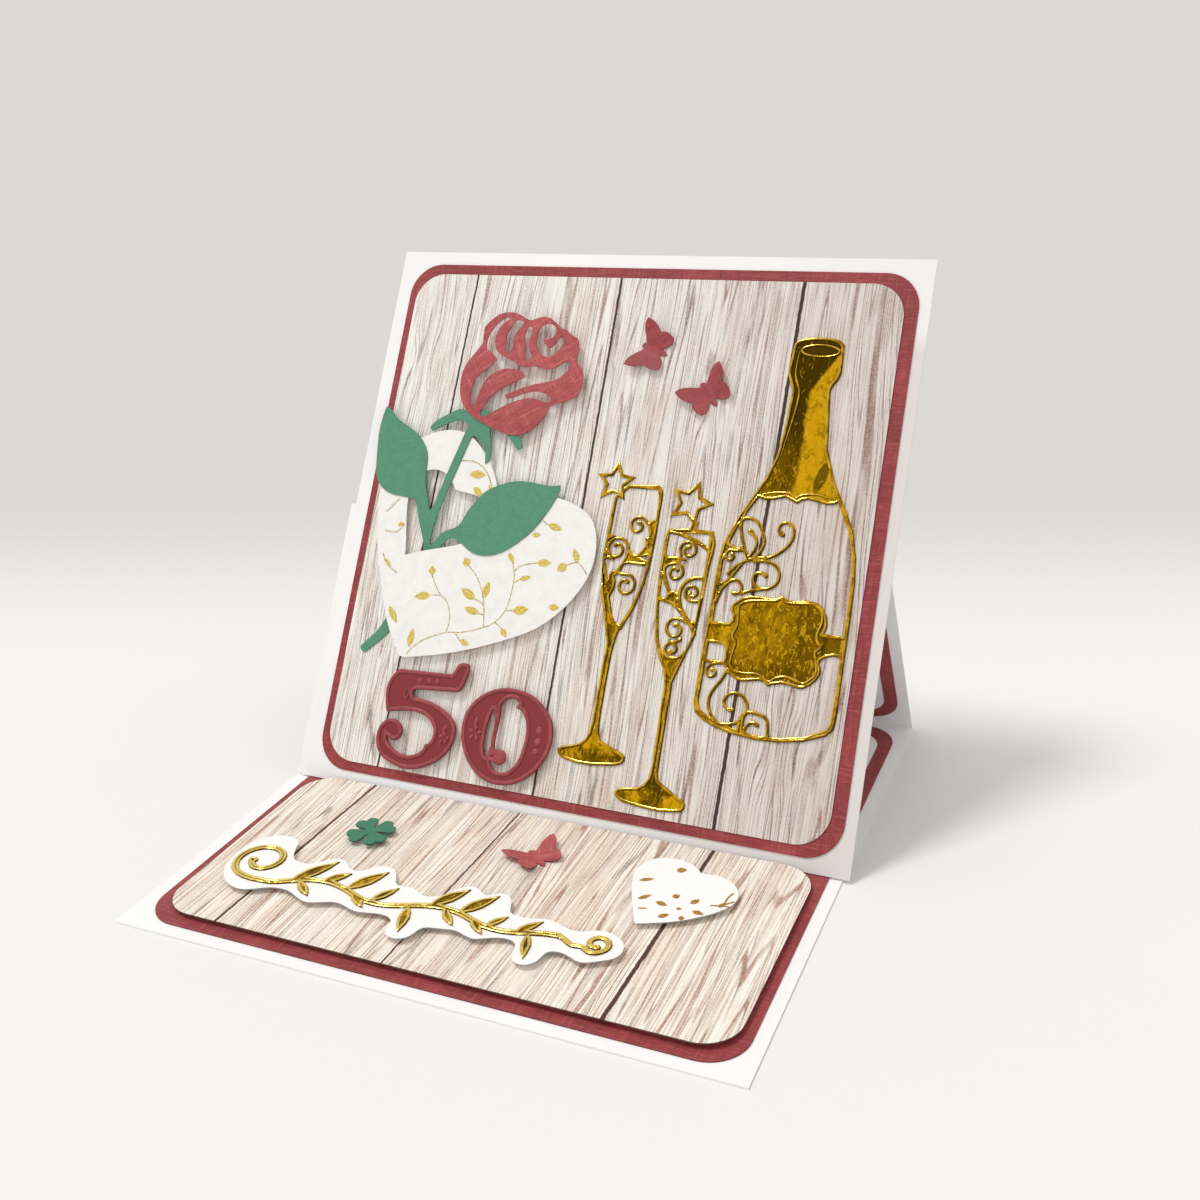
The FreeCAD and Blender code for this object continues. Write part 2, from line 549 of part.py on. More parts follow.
# Gold scroll lines: a ribbon of foil along a centre line, with a round bead at its far end
def ribbon(points, wide, beadWide=0):
    curve = Part.BSplineCurve()
    curve.interpolate([Vector(u, v, 0) for u, v in points])
    tip = curve.value(curve.LastParameter)
    left = []
    right = []
    for middle in curve.toShape().discretize(Deflection=size("foilChord") / 2):
        along = Vector(*curve.tangent(curve.parameter(middle))[0]).normalize()
        side = Vector(-along.y, along.x, 0) * wide / 2
        for edge, point in ((left, middle + side), (right, middle - side)):
            if not beadWide or (point - tip).Length > beadWide / 2:
                edge.append(point)
    end = []
    if beadWide:
        first = math.atan2(left[-1].y - tip.y, left[-1].x - tip.x)
        last = math.atan2(right[-1].y - tip.y, right[-1].x - tip.x)
        sweep = (last - first) % (2 * math.pi) - 2 * math.pi
        for i in range(int(size("beadSides")) + 1):
            angle = first + sweep * i / size("beadSides")
            end.append(tip + Vector(math.cos(angle), math.sin(angle), 0) * beadWide / 2)
    points = left + end + right[::-1]
    return Part.Face(Part.makePolygon(points + points[:1]))


def curl(right, up, radius, startTurn, turns, close=0.35):
    # spiral about its middle that tightens to a share of its radius; turns above nought run anticlockwise
    steps = max(4, round(abs(turns) * 8))
    points = []
    for i in range(steps + 1):
        share = i / steps
        angle = math.radians(startTurn + 360 * turns * share)
        reach = radius * (1 - (1 - close) * share)
        points.append((right + reach * math.cos(angle), up + reach * math.sin(angle)))
    return points


def star(right, up, radius, turn):
    points = []
    for i in range(10):
        reach = radius if i % 2 == 0 else radius * 0.5
        angle = math.radians(90 + turn + 36 * i)
        points.append([(right + reach * math.cos(angle), up + reach * math.sin(angle))])
    return loopFace(points)


def foilPiece(label, faces, openings=()):
    # every line and web overlaps its neighbours, so that the foil is one piece
    thick = Vector(0, 0, size("foilThick"))
    solids = [face.extrude(thick) for face in faces]
    whole = solids[0].multiFuse(solids[1:])
    for opening in openings:
        whole = whole.cut(opening.extrude(thick))
    piece = doc.addObject("Part::Feature", label)
    piece.Label = label
    piece.Shape = whole.removeSplitter()
    return piece


# Two gold glasses: a solid foot and stem, a rim of foil with scrolls inside, and a star at the lip
def leftGlass():
    outside = [
        [(2, 83.8)],
        [(1.4, 78.8), (1.3, 73.4), (1.5, 67.9), (2.2, 61.5), (3.4, 56), (5, 51.5), (6.4, 48), (6.5, 44),
         (6.4, 36),
         (6.3, 28), (6.1, 23.9), (4.7, 21.2), (2.4, 20), (-0.3, 19.3), (-1.8, 18.3)],
        [(-0.9, 16.8), (1.6, 15.9), (5.4, 15.5), (9.9, 15.8), (14, 16.5), (16.4, 17.7), (16.5, 19),
         (15.4, 19.9)],
        [(13.5, 20), (11.3, 20.4), (9.6, 21.6), (8.6, 24), (8.3, 28), (8.3, 36), (8.4, 44), (9.2, 49.4),
         (11.3, 54), (12.9, 58), (14.1, 62.8), (14.7, 68), (15, 75), (15, 83), (14.8, 86.4), (14.1, 87.6),
         (12.6, 87.9)],
        [(5, 87.4)],
    ]
    inside = [
        [(2.8, 83.6)],
        [(2.4, 74), (2.5, 68), (3, 62.8), (4.4, 60.6), (5.1, 57.8), (6.3, 54.6), (8, 51.8), (9.4, 51.1)],
        [(10.7, 53.8), (12.2, 57.8), (13.2, 62), (13.8, 67), (14, 75), (14, 84), (13.5, 86.7)],
        [(5.6, 86.5)],
    ]
    wide = size("curlWide")
    upper = [(14, 72), (13.4, 75.4), (12.4, 77.6)] + curl(9.7, 76.9, 2.5, 35, 1.15)
    middle = [(3.6, 60.6), (5.3, 63.6), (7.6, 67.2)] + curl(5, 70.4, 3.3, -8, 1.35)
    lower = [(4.4, 62), (5.6, 64.6)] + curl(8.9, 61.4, 3.1, 118, -1.15)
    hanging = loopFace([[(13.6, 79), (12.6, 78)], [(12.8, 73), (11.9, 71)], [(10.6, 69.4)], [(12.2, 69),
                      (14.2, 69.6)],
                        [(13.8, 71.4), (13.2, 72.3), (13, 73.4)], [(14.4, 74)], [(14.4, 79)]])
    fork = loopFace([[(9.8, 69.6), (10.9, 69.3)], [(13.9, 68.1)], [(13.9, 67.5), (10.6, 66.9), (7.2, 65.1)],
                     [(5.6, 63.2)], [(5, 64)], [(7.2, 67.4), (8.3, 71)]])
    webs = [loopFace([[(1.8, 75.2)], [(2.6, 74.1), (4.2, 73.8)], [(2.6, 72.6), (1.8, 71.2)]]),
            loopFace([[(1.8, 69)], [(3, 68.2), (4.6, 67.2)], [(2.6, 67.6), (1.8, 66.6)]]),
            loopFace([[(3, 65)], [(4, 62.2), (5.4, 64.2)], [(6.2, 62), (5.2, 58)], [(3.4, 58)], [(2, 64)]])]
    ring = star(1.5, 87.8, size("starSize"), -1)
    faces = [loopFace(outside).cut(loopFace(inside)), ring, hanging, fork] + webs
    for points in (upper, middle, lower):
        faces.append(ribbon(points, wide, size("beadSize")))
    openings = [star(1.5, 87.8, size("starSize") - 2 * size("bandWide"), -1)]
    onFront(foilPiece("glass_left", faces, openings), onPrint)


def rightGlass():
    outside = [
        [(17.6, 75.6), (17.4, 72), (17.4, 65), (17.8, 58.5), (18.5, 53), (19.3, 48.2), (20.6, 44.9),
         (22.4, 42.2),
         (23.3, 39.2), (23.5, 32), (23.7, 24), (23.7, 17), (22.8, 13.8), (21, 12.4), (18.4, 11.9),
         (16, 11.3)],
        [(15.3, 10), (16.7, 8.6), (19.5, 8), (23.5, 7.6), (27.6, 7.5), (31.3, 8), (33.6, 9), (33.7, 10.2),
         (32, 11.5)],
        [(29.5, 12), (27, 13.2), (25.9, 15.2), (25.6, 19), (25.5, 27), (25.6, 35), (25.6, 39.6), (26.2, 43),
         (27.8, 45.8), (29, 48.8), (29.6, 53), (30, 60), (30.2, 68), (30.2, 76.4), (29.5, 77.4)],
        [(23.1, 77.5)],
        [(18.2, 77)],
    ]
    inside = [
        [(18.5, 76)],
        [(18.4, 70), (18.4, 62), (19, 55), (20, 49.6), (21.4, 46.2), (23.2, 44.4)],
        [(25.4, 44.4)],
        [(27, 46.4), (28.1, 49), (28.7, 54), (29, 62), (29.1, 70), (29.2, 76.5)],
    ]
    wide = size("curlWide")
    arm = [(18, 76.4), (22.4, 75.7), (26, 74.4), (29.7, 72.2)]
    leaf = [(29.6, 65.2), (27, 65.2), (24.6, 63.8), (23.6, 61), (24.4, 57.6), (26.6, 54.8), (29.2, 52.6)]
    cross = [(18, 59.2), (21, 58.7), (23.6, 57.6), (25.4, 55.8)]
    slope = [(18.2, 69.6), (18.9, 65), (20.4, 61.8), (22.6, 59)]
    curls = [
        [(17.9, 68.6), (20, 69.6)] + curl(24.3, 72, 2.6, 222, -1.35),
        [(18.2, 66), (19.4, 67.8)] + curl(21.6, 66.1, 2.5, 125, -1.2),
        [(29.6, 60.6), (28.6, 59.5)] + curl(26.9, 61.5, 2.2, -75, -1.25),
        [(29.2, 51), (28, 53.4)] + curl(24, 52, 2.9, 55, 1.15),
        [(27.4, 47), (25.6, 44.9)] + curl(23.9, 46.9, 2.2, -75, -1.15),
    ]
    webs = [
        loopFace([[(17.9, 71)], [(19.3, 69.9), (21.6, 70)], [(23.4, 70), (24.2, 69.4)], [(22, 68.8),
                (19, 68.2)],
                  [(17.9, 66)]]),
        loopFace([[(18.1, 60)], [(20, 59.3)], [(20.8, 61), (22.4, 61.6)], [(23.4, 60.6), (23.2, 58.6)],
                  [(25, 56.6)], [(24.4, 56)], [(21.6, 58.2), (18.1, 58.7)]]),
        loopFace([[(26.2, 54.9)], [(27.4, 53.6), (28.4, 50)], [(29.2, 50)], [(29.3, 54.6)], [(28, 54.4)]]),
        loopFace([[(22.6, 49.4), (23.6, 49)], [(24.8, 49.4), (26, 50.4)], [(26.2, 49.2)], [(24.4, 48.3),
                (22.6, 48.6)]]),
    ]
    ring = star(22.7, 84, size("starSize") + 0.6, -16)
    faces = [loopFace(outside).cut(loopFace(inside)), ring] + webs
    faces.append(ribbon([(24.9, 79.6), (24.6, 78.4), (24.2, 77)], 1.5))
    for points in (arm, leaf, cross, slope):
        faces.append(ribbon(points, wide * 1.2))
    for points in curls:
        faces.append(ribbon(points, wide, size("beadSize")))
    openings = [star(22.7, 84, size("starSize") + 0.6 - 2 * size("bandWide"), -16)]
    onFront(foilPiece("glass_right", faces, openings), onPrint)


# Gold bottle: a solid neck with a wavy lower edge, a bracketed label plate, and scrolls down its left side
def bottle():
    outside = [
        [(43.5, 127.5), (44.9, 128.2), (49.5, 128.7), (54.3, 128.1), (55.6, 127)],
        [(55.8, 124.6), (55.8, 121.5), (55.7, 118.8), (54.4, 116.6), (53.8, 115)],
        [(54.2, 110.5), (54.8, 104.5), (55.6, 99), (57.2, 94.5), (59.3, 90.2), (61.7, 86.1), (63.9, 81.7),
         (65.5, 76.5), (66.4, 71), (66.7, 62), (66.8, 48), (66.8, 39), (66.7, 34.5)],
        [(66.2, 32.7), (65, 31.5)],
        [(62, 30.1), (57.6, 28.9), (52, 28.2), (46.2, 28.2), (40.6, 29), (35.8, 30.4), (32.4, 32.5)],
        [(31.6, 34.8)],
        [(31.5, 39), (31.9, 50), (32, 60), (32.2, 69), (33, 75.5), (34.8, 79.8), (38, 86.5), (41, 92.2),
         (42.8, 97.6), (43.7, 105), (44.2, 114.7)],
        [(43.4, 116.5), (42.6, 118.3), (42.5, 121.4), (42.8, 125.6)],
    ]
    openBody = [
        [(40, 86.9)],
        [(41.4, 86.5), (44.2, 86.8), (46.7, 87.5)],
        [(49.7, 86.2)],
        [(52.6, 87.4), (55.6, 86.8), (59.8, 87.3)],
        [(62.2, 83), (64, 78), (65.1, 73.5), (65.5, 68), (65.6, 60), (65.7, 48), (65.7, 39), (65.5, 34.6)],
        [(64.8, 33.1)],
        [(61.4, 31.2), (56.8, 30), (52, 29.3), (46.4, 29.4), (41, 30.4), (36.4, 31.9), (33.6, 33.4)],
        [(32.9, 35.4)],
        [(32.9, 44), (33.3, 55), (33.3, 66), (33.9, 73), (35.6, 78.4), (37.8, 83.2)],
    ]
    plate = [
        [(33, 55.2)],
        [(37.4, 55.2)],
        [(37.9, 57.3), (37.2, 58.9), (38.2, 60.6), (40.3, 62.1), (44, 62.6), (47.2, 62.4), (49.6, 63.4)],
        [(51.4, 62.5), (54, 62.6), (57.3, 62.9), (60.3, 61), (61.5, 58.2), (61, 55.4)],
        [(66, 55.2)],
        [(66, 49.7)],
        [(61.8, 49.5), (60.9, 48.4), (61.5, 46.8), (61.3, 45), (59.4, 42.6), (57.4, 41.6), (54.6, 42.1),
         (52, 42.1), (49.5, 41.1)],
        [(47.6, 42.2), (45, 41.8), (42.2, 41.5), (39.6, 42.8), (37.6, 45.2), (37.7, 48), (37, 49.8)],
        [(33, 49.8)],
    ]
    wide = size("curlWide")
    lines = [
        [(36.2, 82), (36.6, 79), (37.6, 75.6), (39.6, 71.4)],
        [(39.9, 71), (42.2, 73), (43.1, 75.8), (42.2, 78.6), (40.6, 80.8), (38.6, 81.6), (36.2, 80.4)],
        [(35, 67), (37, 69.4), (40, 71.2), (44.4, 72.2)],
        [(32.9, 64.4), (35, 65.2), (36.8, 67.6), (38.4, 70)],
        [(33.4, 75), (35.6, 73.9), (37.9, 73.3)],
        [(39.2, 62.6), (42.4, 63.9), (44.4, 64.2)],
        [(33, 45.3), (35.6, 45.4), (38, 45.2)],
        [(38.6, 43.6), (37.4, 40.6), (35.8, 38), (35.4, 35), (36.4, 32.6), (38.6, 30.6)],
    ]
    curls = [
        [(39.4, 71.6), (40.9, 73.6), (41.2, 75.8), (40.3, 77.4), (39, 78.4)],
        [(42, 71.8), (45, 72.3), (47.6, 73.9), (49.5, 76.2), (50.1, 78.6), (49.4, 80.7), (47.8, 81.3),
         (46.4, 80.4),
         (46.3, 79), (47.4, 78.2)],
        [(41, 71), (44.4, 71.2), (47, 70.3), (48.1, 68.2), (47.5, 65.8), (45.4, 64.5), (43.2, 64.6),
         (41.7, 66),
         (42, 67.8), (43.5, 68.3), (44.8, 67.7)],
        [(37.4, 73.4)] + curl(35.2, 71.7, 1.7, 60, 1),
        [(33.2, 59.6), (34, 62.6), (35.6, 65.1), (37.6, 65.9), (39, 64.8), (39, 63.1), (37.4, 62.6)],
        [(37, 45.2), (35.2, 44.9)] + curl(35.1, 42.8, 1.7, 118, 0.95),
        [(37.6, 30.8), (40.6, 30.7), (43.2, 31.6), (44.9, 33.6), (45.1, 36), (43.6, 38), (41.4, 38.5),
         (39.6, 37.4),
         (39.2, 35.8), (40.2, 34.5), (41.6, 34.4)],
        [(43.8, 32.6), (45.4, 34.3), (48.2, 34.3), (50.3, 33.4), (50.9, 31.4), (51.3, 28.8)],
        [(45.2, 29.2), (45.7, 31), (47, 32.1), (48.2, 31.7)],
    ]
    webs = [loopFace([[(43.6, 29)], [(43.4, 31.4), (45, 33.4)], [(45, 31), (45.6, 29)]])]
    faces = [loopFace(outside).cut(loopFace(openBody)), loopFace(plate)] + webs
    for points in lines:
        faces.append(ribbon(points, wide))
    for points in curls:
        faces.append(ribbon(points, wide, size("beadSize")))
    onFront(foilPiece("bottle", faces), onPrint)


# Butterflies: the same cut piece three times, its wings bent up from the spine
def butterfly(label):
    wing = [
        [(0.6, 2.9), (0.9, 2.2)],
        [(2, 2.9), (3.4, 3.9), (5.2, 4.7), (6.9, 4.5)],
        [(6.7, 2.7), (6, 1.1), (4.7, -0.5)],
        [(5.2, -1.3), (5.2, -2.9), (4.5, -4.6)],
        [(3, -4.6), (1.8, -3.8), (0.8, -2.5)],
        [(0.7, -3.6), (0, -4.6)],
    ]
    stretches = list(wing)
    ends = [stretch[-1] for stretch in wing]
    mirrored = []
    for i in range(len(wing) - 1, -1, -1):
        inner = wing[i][:-1][::-1]
        last = ends[i - 1] if i else (0, 3.1)
        mirrored.append([(-x, y) for x, y in inner + [last]])
    mirrored[-1][-1] = (0, 3.1)
    blank = newBody(label + "_blank")
    sketch = newSketch(blank, label + "_outline")
    drawLoop(sketch, stretches + mirrored)
    newPad(blank, sketch, "Sizes.wingReach * tan(Sizes.wingLift) + Sizes.paperThick")
    strip = foldedStrip(label + "_fold", wingProfile)
    strip.setExpression("Placement", "placement(vector(0; 0; 0); rotation(vector(0; 0; 1); 90))")
    return common(label, blank, strip)


def butterflies():
    onFront(butterfly("butterfly_1"), onPrint, 5.4, 123.9, 70.6)
    onFront(butterfly("butterfly_2"), onPrint, 22.3, 113, 40.4)
    onRaised(butterfly("butterfly_3"), raisedOnPrint, 5.7, -21.8, 50.9)


# Clover: four leaves, each with a notch at its tip
def clover():
    outline = []
    for i in range(4):
        turn = math.radians(90 * i + 45)
        leaf = [[(2.9, -2.1), (4.4, -2.9), (5.8, -1.7), (5.1, 0)], [(5.8, 1.7), (4.4, 2.9), (2.9, 2.1),
                 (1, 1)]]
        for stretch in leaf:
            outline.append([(u * math.cos(turn) - v * math.sin(turn), u * math.sin(turn) + v * math.cos(turn))
                            for u, v in stretch])
    onRaised(dieCut("clover", [outline]), raisedOnFoam, -36.8, -26.9)
    onRaised(squarePads("clover_foam", [(0, 0)], "numeralPad"), raisedOnPrint, -36.8, -26.9)


# Small heart on the base
def smallHeart():
    outline = [
        [(42.5, -38), (46.7, -35.8), (50.8, -32.7), (54.2, -29.2), (56.2, -25), (55.4, -20.8), (52.5, -17.8),
         (48.6, -16.7), (45.4, -17.1)],
        [(42.3, -14.4), (38.3, -13.4), (34.4, -14.2), (31.8, -16.9), (30.8, -20.4), (31.4, -24.2),
         (33.2, -29.2),
         (35.5, -34.2), (38.2, -39.8)],
    ]
    onRaised(dieCut("small_heart", [outline]), raisedOnFoam)
    onRaised(squarePads("small_heart_foam", [(37, -20), (50, -24), (41, -32)], "padSide"), raisedOnPrint)


# Gold flourish: one scrolled vine on its own white backing
def flourish():
    backing = [
        [(-49, -42), (-44.6, -44.6), (-41.4, -43.4), (-38.8, -40.6), (-35.4, -40.4), (-32.4, -42.8),
         (-29.4, -42.6),
         (-27, -39.8), (-23.4, -39.2), (-20.6, -41.6), (-18.6, -44.6), (-14.6, -44.6), (-10.6, -46.4),
         (-6.4, -44.6), (-4.2, -41), (-0.6, -39.6), (2.8, -41.4), (5.6, -39.7), (9.2, -41.4), (10.9, -45.2),
         (15.4, -46), (20, -44.9), (24.4, -46.2), (28.4, -46.4), (31.8, -44.8), (36.2, -45.2), (39.2, -48.2),
         (39, -52), (36, -54.4), (32.6, -56), (28.4, -54.6), (24.8, -55.2), (23.8, -59), (21, -61),
         (18.2, -59.2),
         (17, -55), (12, -54.6), (7.4, -56.6), (3, -55.4), (-1.4, -56), (-4.6, -57), (-6, -60.8),
         (-9.2, -62.4),
         (-12, -60.4), (-12.6, -57), (-16.4, -55.8), (-22, -56.8), (-28, -55.4), (-34.8, -57.6), (-40, -55.6),
         (-46.4, -55.8), (-51.6, -58.4), (-57, -57.2), (-61.2, -52.6), (-62.6, -46), (-60.8, -39.4),
         (-56, -36), (-51.2, -37)],
    ]
    onRaised(dieCut("flourish_backing", [backing]), raisedOnFoam)
    pads = [(-56, -47), (-36, -49), (-22, -49), (-1, -48), (21, -51), (34, -50)]
    onRaised(squarePads("flourish_foam", pads, "padSide"), raisedOnPrint)
    wide = size("curlWide")
    vine = [(-48.6, -54), (-46, -53.5), (-41, -51), (-35, -49.4), (-29, -50.4), (-23, -52.6), (-17, -52.8),
            (-11, -50.8), (-5, -49.2), (1, -49.8), (7, -51.8), (13, -52.2), (19, -50.6), (25, -49.6)]
    volute = [(-46.6, -53.7), (-49, -54)] + curl(-54.2, -46.8, 7.2, -88, -1.2)
    tail = [(23, -49.7), (26.6, -50.4), (29.4, -51.6)] + curl(33.6, -49.4, 3.4, 215, 1.2)
    leaves = [
        # foot on the vine, tip, width
        (-43, -52.2, -36.2, -41.4, 3.6),
        (-35.6, -49.8, -30.6, -44.6, 2.8),
        (-28.8, -50.6, -22.6, -41.2, 3.6),
        (-21, -52.6, -17, -46, 2.6),
        (-7.4, -49.8, -1.2, -40.9, 3.4),
        (0, -49.8, 6.2, -40.9, 3.4),
        (8, -52, 11.6, -47.2, 2.2),
        (15, -51.8, 19.6, -46.2, 2.4),
        (-11.4, -51.2, -8.9, -60.4, 2.8),
        (18.2, -51, 20.9, -59.4, 2.4),
        (-41, -51.2, -35.4, -55.8, 2.4),
        (-26.6, -51.2, -21, -55.4, 2.2),
        (-3.6, -49.6, 1.4, -54.4, 2.2),
        (4, -50.8, 9, -55, 2),
    ]
    faces = [ribbon(vine, wide * 2), ribbon(volute, wide * 2, size("beadSize") * 2),
             ribbon(tail, wide * 1.6, size("beadSize") * 1.5)]
    for leaf in leaves:
        faces.append(vineLeaf(*leaf))
    onRaised(foilPiece("flourish", faces), raisedOnBacking)


def vineLeaf(footRight, footUp, tipRight, tipUp, wide):
    # pointed leaf that grows from the vine
    along = Vector(tipRight - footRight, tipUp - footUp, 0)
    side = Vector(-along.y, along.x, 0).normalize() * wide / 2
    edge = [(0.2, 0.7), (0.45, 1), (0.75, 0.65)]
    left = [Vector(footRight, footUp, 0) + along * share + side * swell for share, swell in edge]
    right = [Vector(footRight, footUp, 0) + along * share - side * swell for share, swell in reversed(edge)]
    return loopFace([[(point.x, point.y) for point in left] + [(tipRight, tipUp)],
                     [(point.x, point.y) for point in right] + [(footRight, footUp)]])


easelSheet()
frontPanel()
layers()
heart()
roseStem()
roseBloom()
numerals()
leftGlass()
rightGlass()
bottle()
butterflies()
clover()
smallHeart()
flourish()
doc.recompute()

for item in doc.Objects:
    if "Invalid" in item.State or "Error" in item.State:
        raise RuntimeError("%s is %s" % (item.Label, item.State))
for piece in parts:
    if piece.Shape.isNull() or not piece.Shape.isValid() or not piece.Shape.Solids:
        raise RuntimeError("%s has no sound shape" % piece.Label)

os.makedirs("parts", exist_ok=True)
for piece in parts:
    piece.Shape.exportStep("parts/%s.step" % piece.Label)
    print("%s: %d solids, %.1f mm3" % (piece.Label, len(piece.Shape.Solids), piece.Shape.Volume))
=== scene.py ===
import bpy, bmesh, math
from mathutils import Matrix, Vector


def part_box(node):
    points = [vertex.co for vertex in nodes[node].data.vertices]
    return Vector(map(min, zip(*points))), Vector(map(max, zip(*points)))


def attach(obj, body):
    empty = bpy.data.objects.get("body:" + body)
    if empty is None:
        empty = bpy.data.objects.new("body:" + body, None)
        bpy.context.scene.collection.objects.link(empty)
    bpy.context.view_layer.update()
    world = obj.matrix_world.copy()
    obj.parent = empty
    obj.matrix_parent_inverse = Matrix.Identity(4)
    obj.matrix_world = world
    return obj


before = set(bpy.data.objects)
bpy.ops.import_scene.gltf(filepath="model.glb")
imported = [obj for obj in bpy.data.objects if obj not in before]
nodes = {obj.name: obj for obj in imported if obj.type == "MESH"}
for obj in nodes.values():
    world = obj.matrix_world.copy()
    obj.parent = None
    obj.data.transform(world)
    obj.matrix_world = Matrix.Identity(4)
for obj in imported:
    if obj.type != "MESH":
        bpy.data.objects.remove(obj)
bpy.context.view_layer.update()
mm = 0.001
scene = bpy.context.scene

# How the card stands, as in the model: its side and lean set the panel's own plane.
# Places on the panel are measured from the easel sheet's middle, though the panel is glued a little
# further right.
card = {"side": 150 * mm, "lean": math.radians(58.5)}
panelLow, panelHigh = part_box("front_panel")
baseLow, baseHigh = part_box("easel_sheet")
leanBack, leanUp = math.cos(card["lean"]), math.sin(card["lean"])
panelFoot = Vector(((baseLow.x + baseHigh.x) / 2, panelLow.y, panelHigh.z - card["side"] * leanUp))
toRight = Vector((1, 0, 0))
planes = {
    # origin, then the directions right, up the sheet and out of its face
    "panel": (panelFoot, toRight, Vector((0, leanBack, leanUp)), Vector((0, -leanUp, leanBack))),
    "base": (Vector((0, 0, 0)), toRight, Vector((0, 1, 0)), Vector((0, 0, 1))),
    "leg": (Vector((0, baseHigh.y, 0)), toRight, Vector((0, -leanBack, leanUp)),
            Vector((0, leanUp, leanBack))),
}


def place(plane, right, up, out=0.0):
    # a point of the row frame from millimetres on a sheet
    origin, across, along, normal = planes[plane]
    return origin + across * right * mm + along * up * mm + normal * out * mm


# camera: places in millimetres, roll in radians
view = {"at": (136.5, -265.6, 180), "to": (14.97, 0, 69.8), "roll": -0.049, "lens": 40.67, "sensor": 36,
        "shift": (0.0036, -0.0305), "near": 10}


def setCamera():
    data = bpy.data.cameras.new("cardCamera")
    data.sensor_width = view["sensor"]
    data.lens = view["lens"]
    data.shift_x, data.shift_y = view["shift"]
    data.clip_start = view["near"] * mm
    camera = bpy.data.objects.new("cardCamera", data)
    scene.collection.objects.link(camera)
    at = Vector(view["at"]) * mm
    ahead = (Vector(view["to"]) * mm - at).normalized()
    right = ahead.cross(Vector((0, 0, 1))).normalized()
    top = right.cross(ahead)
    cosine, sine = math.cos(view["roll"]), math.sin(view["roll"])
    across = right * cosine + top * sine
    upright = top * cosine - right * sine
    turn = Matrix((across, upright, -ahead)).transposed()
    camera.matrix_world = Matrix.Translation(at) @ turn.to_4x4()
    scene.camera = camera


setCamera()


# shader helpers
def tone(red, green, blue):
    # a colour as it is read from a screen, 0 to 255, in the shader's linear light
    def linear(value):
        value = value / 255
        return value / 12.92 if value <= 0.04045 else ((value + 0.055) / 1.055) ** 2.4
    return (linear(red), linear(green), linear(blue), 1.0)


class Flow:
    # one socket's value; sums on it add Math nodes
    def __init__(self, finish, socket):
        self.finish = finish
        self.socket = socket

    def sum(self, operation, *values):
        return self.finish.node("ShaderNodeMath", {"operation": operation}, dict(enumerate(values)))

    def __add__(self, other):
        return self.sum("ADD", self, other)

    def __sub__(self, other):
        return self.sum("SUBTRACT", self, other)

    def __rsub__(self, other):
        return self.sum("SUBTRACT", other, self)

    def __mul__(self, other):
        return self.sum("MULTIPLY", self, other)

    def __truediv__(self, other):
        return self.sum("DIVIDE", self, other)

    def __lt__(self, other):
        return self.sum("LESS_THAN", self, other)

    def __gt__(self, other):
        return self.sum("GREATER_THAN", self, other)

    __radd__ = __add__

    def size(self):
        return self.sum("ABSOLUTE", self)

    def part(self):
        return self.sum("FRACT", self)

    def square(self):
        return self * self

    def root(self):
        return self.sum("SQRT", self)

    def least(self, other):
        return self.sum("MINIMUM", self, other)

    def most(self, other):
        return self.sum("MAXIMUM", self, other)

    def step(self, start, end):
        # nought below start, one above end, with a soft bend between
        return self.finish.node("ShaderNodeMapRange", {"interpolation_type": "SMOOTHSTEP"},
                                {"Value": self, "From Min": start, "From Max": end})


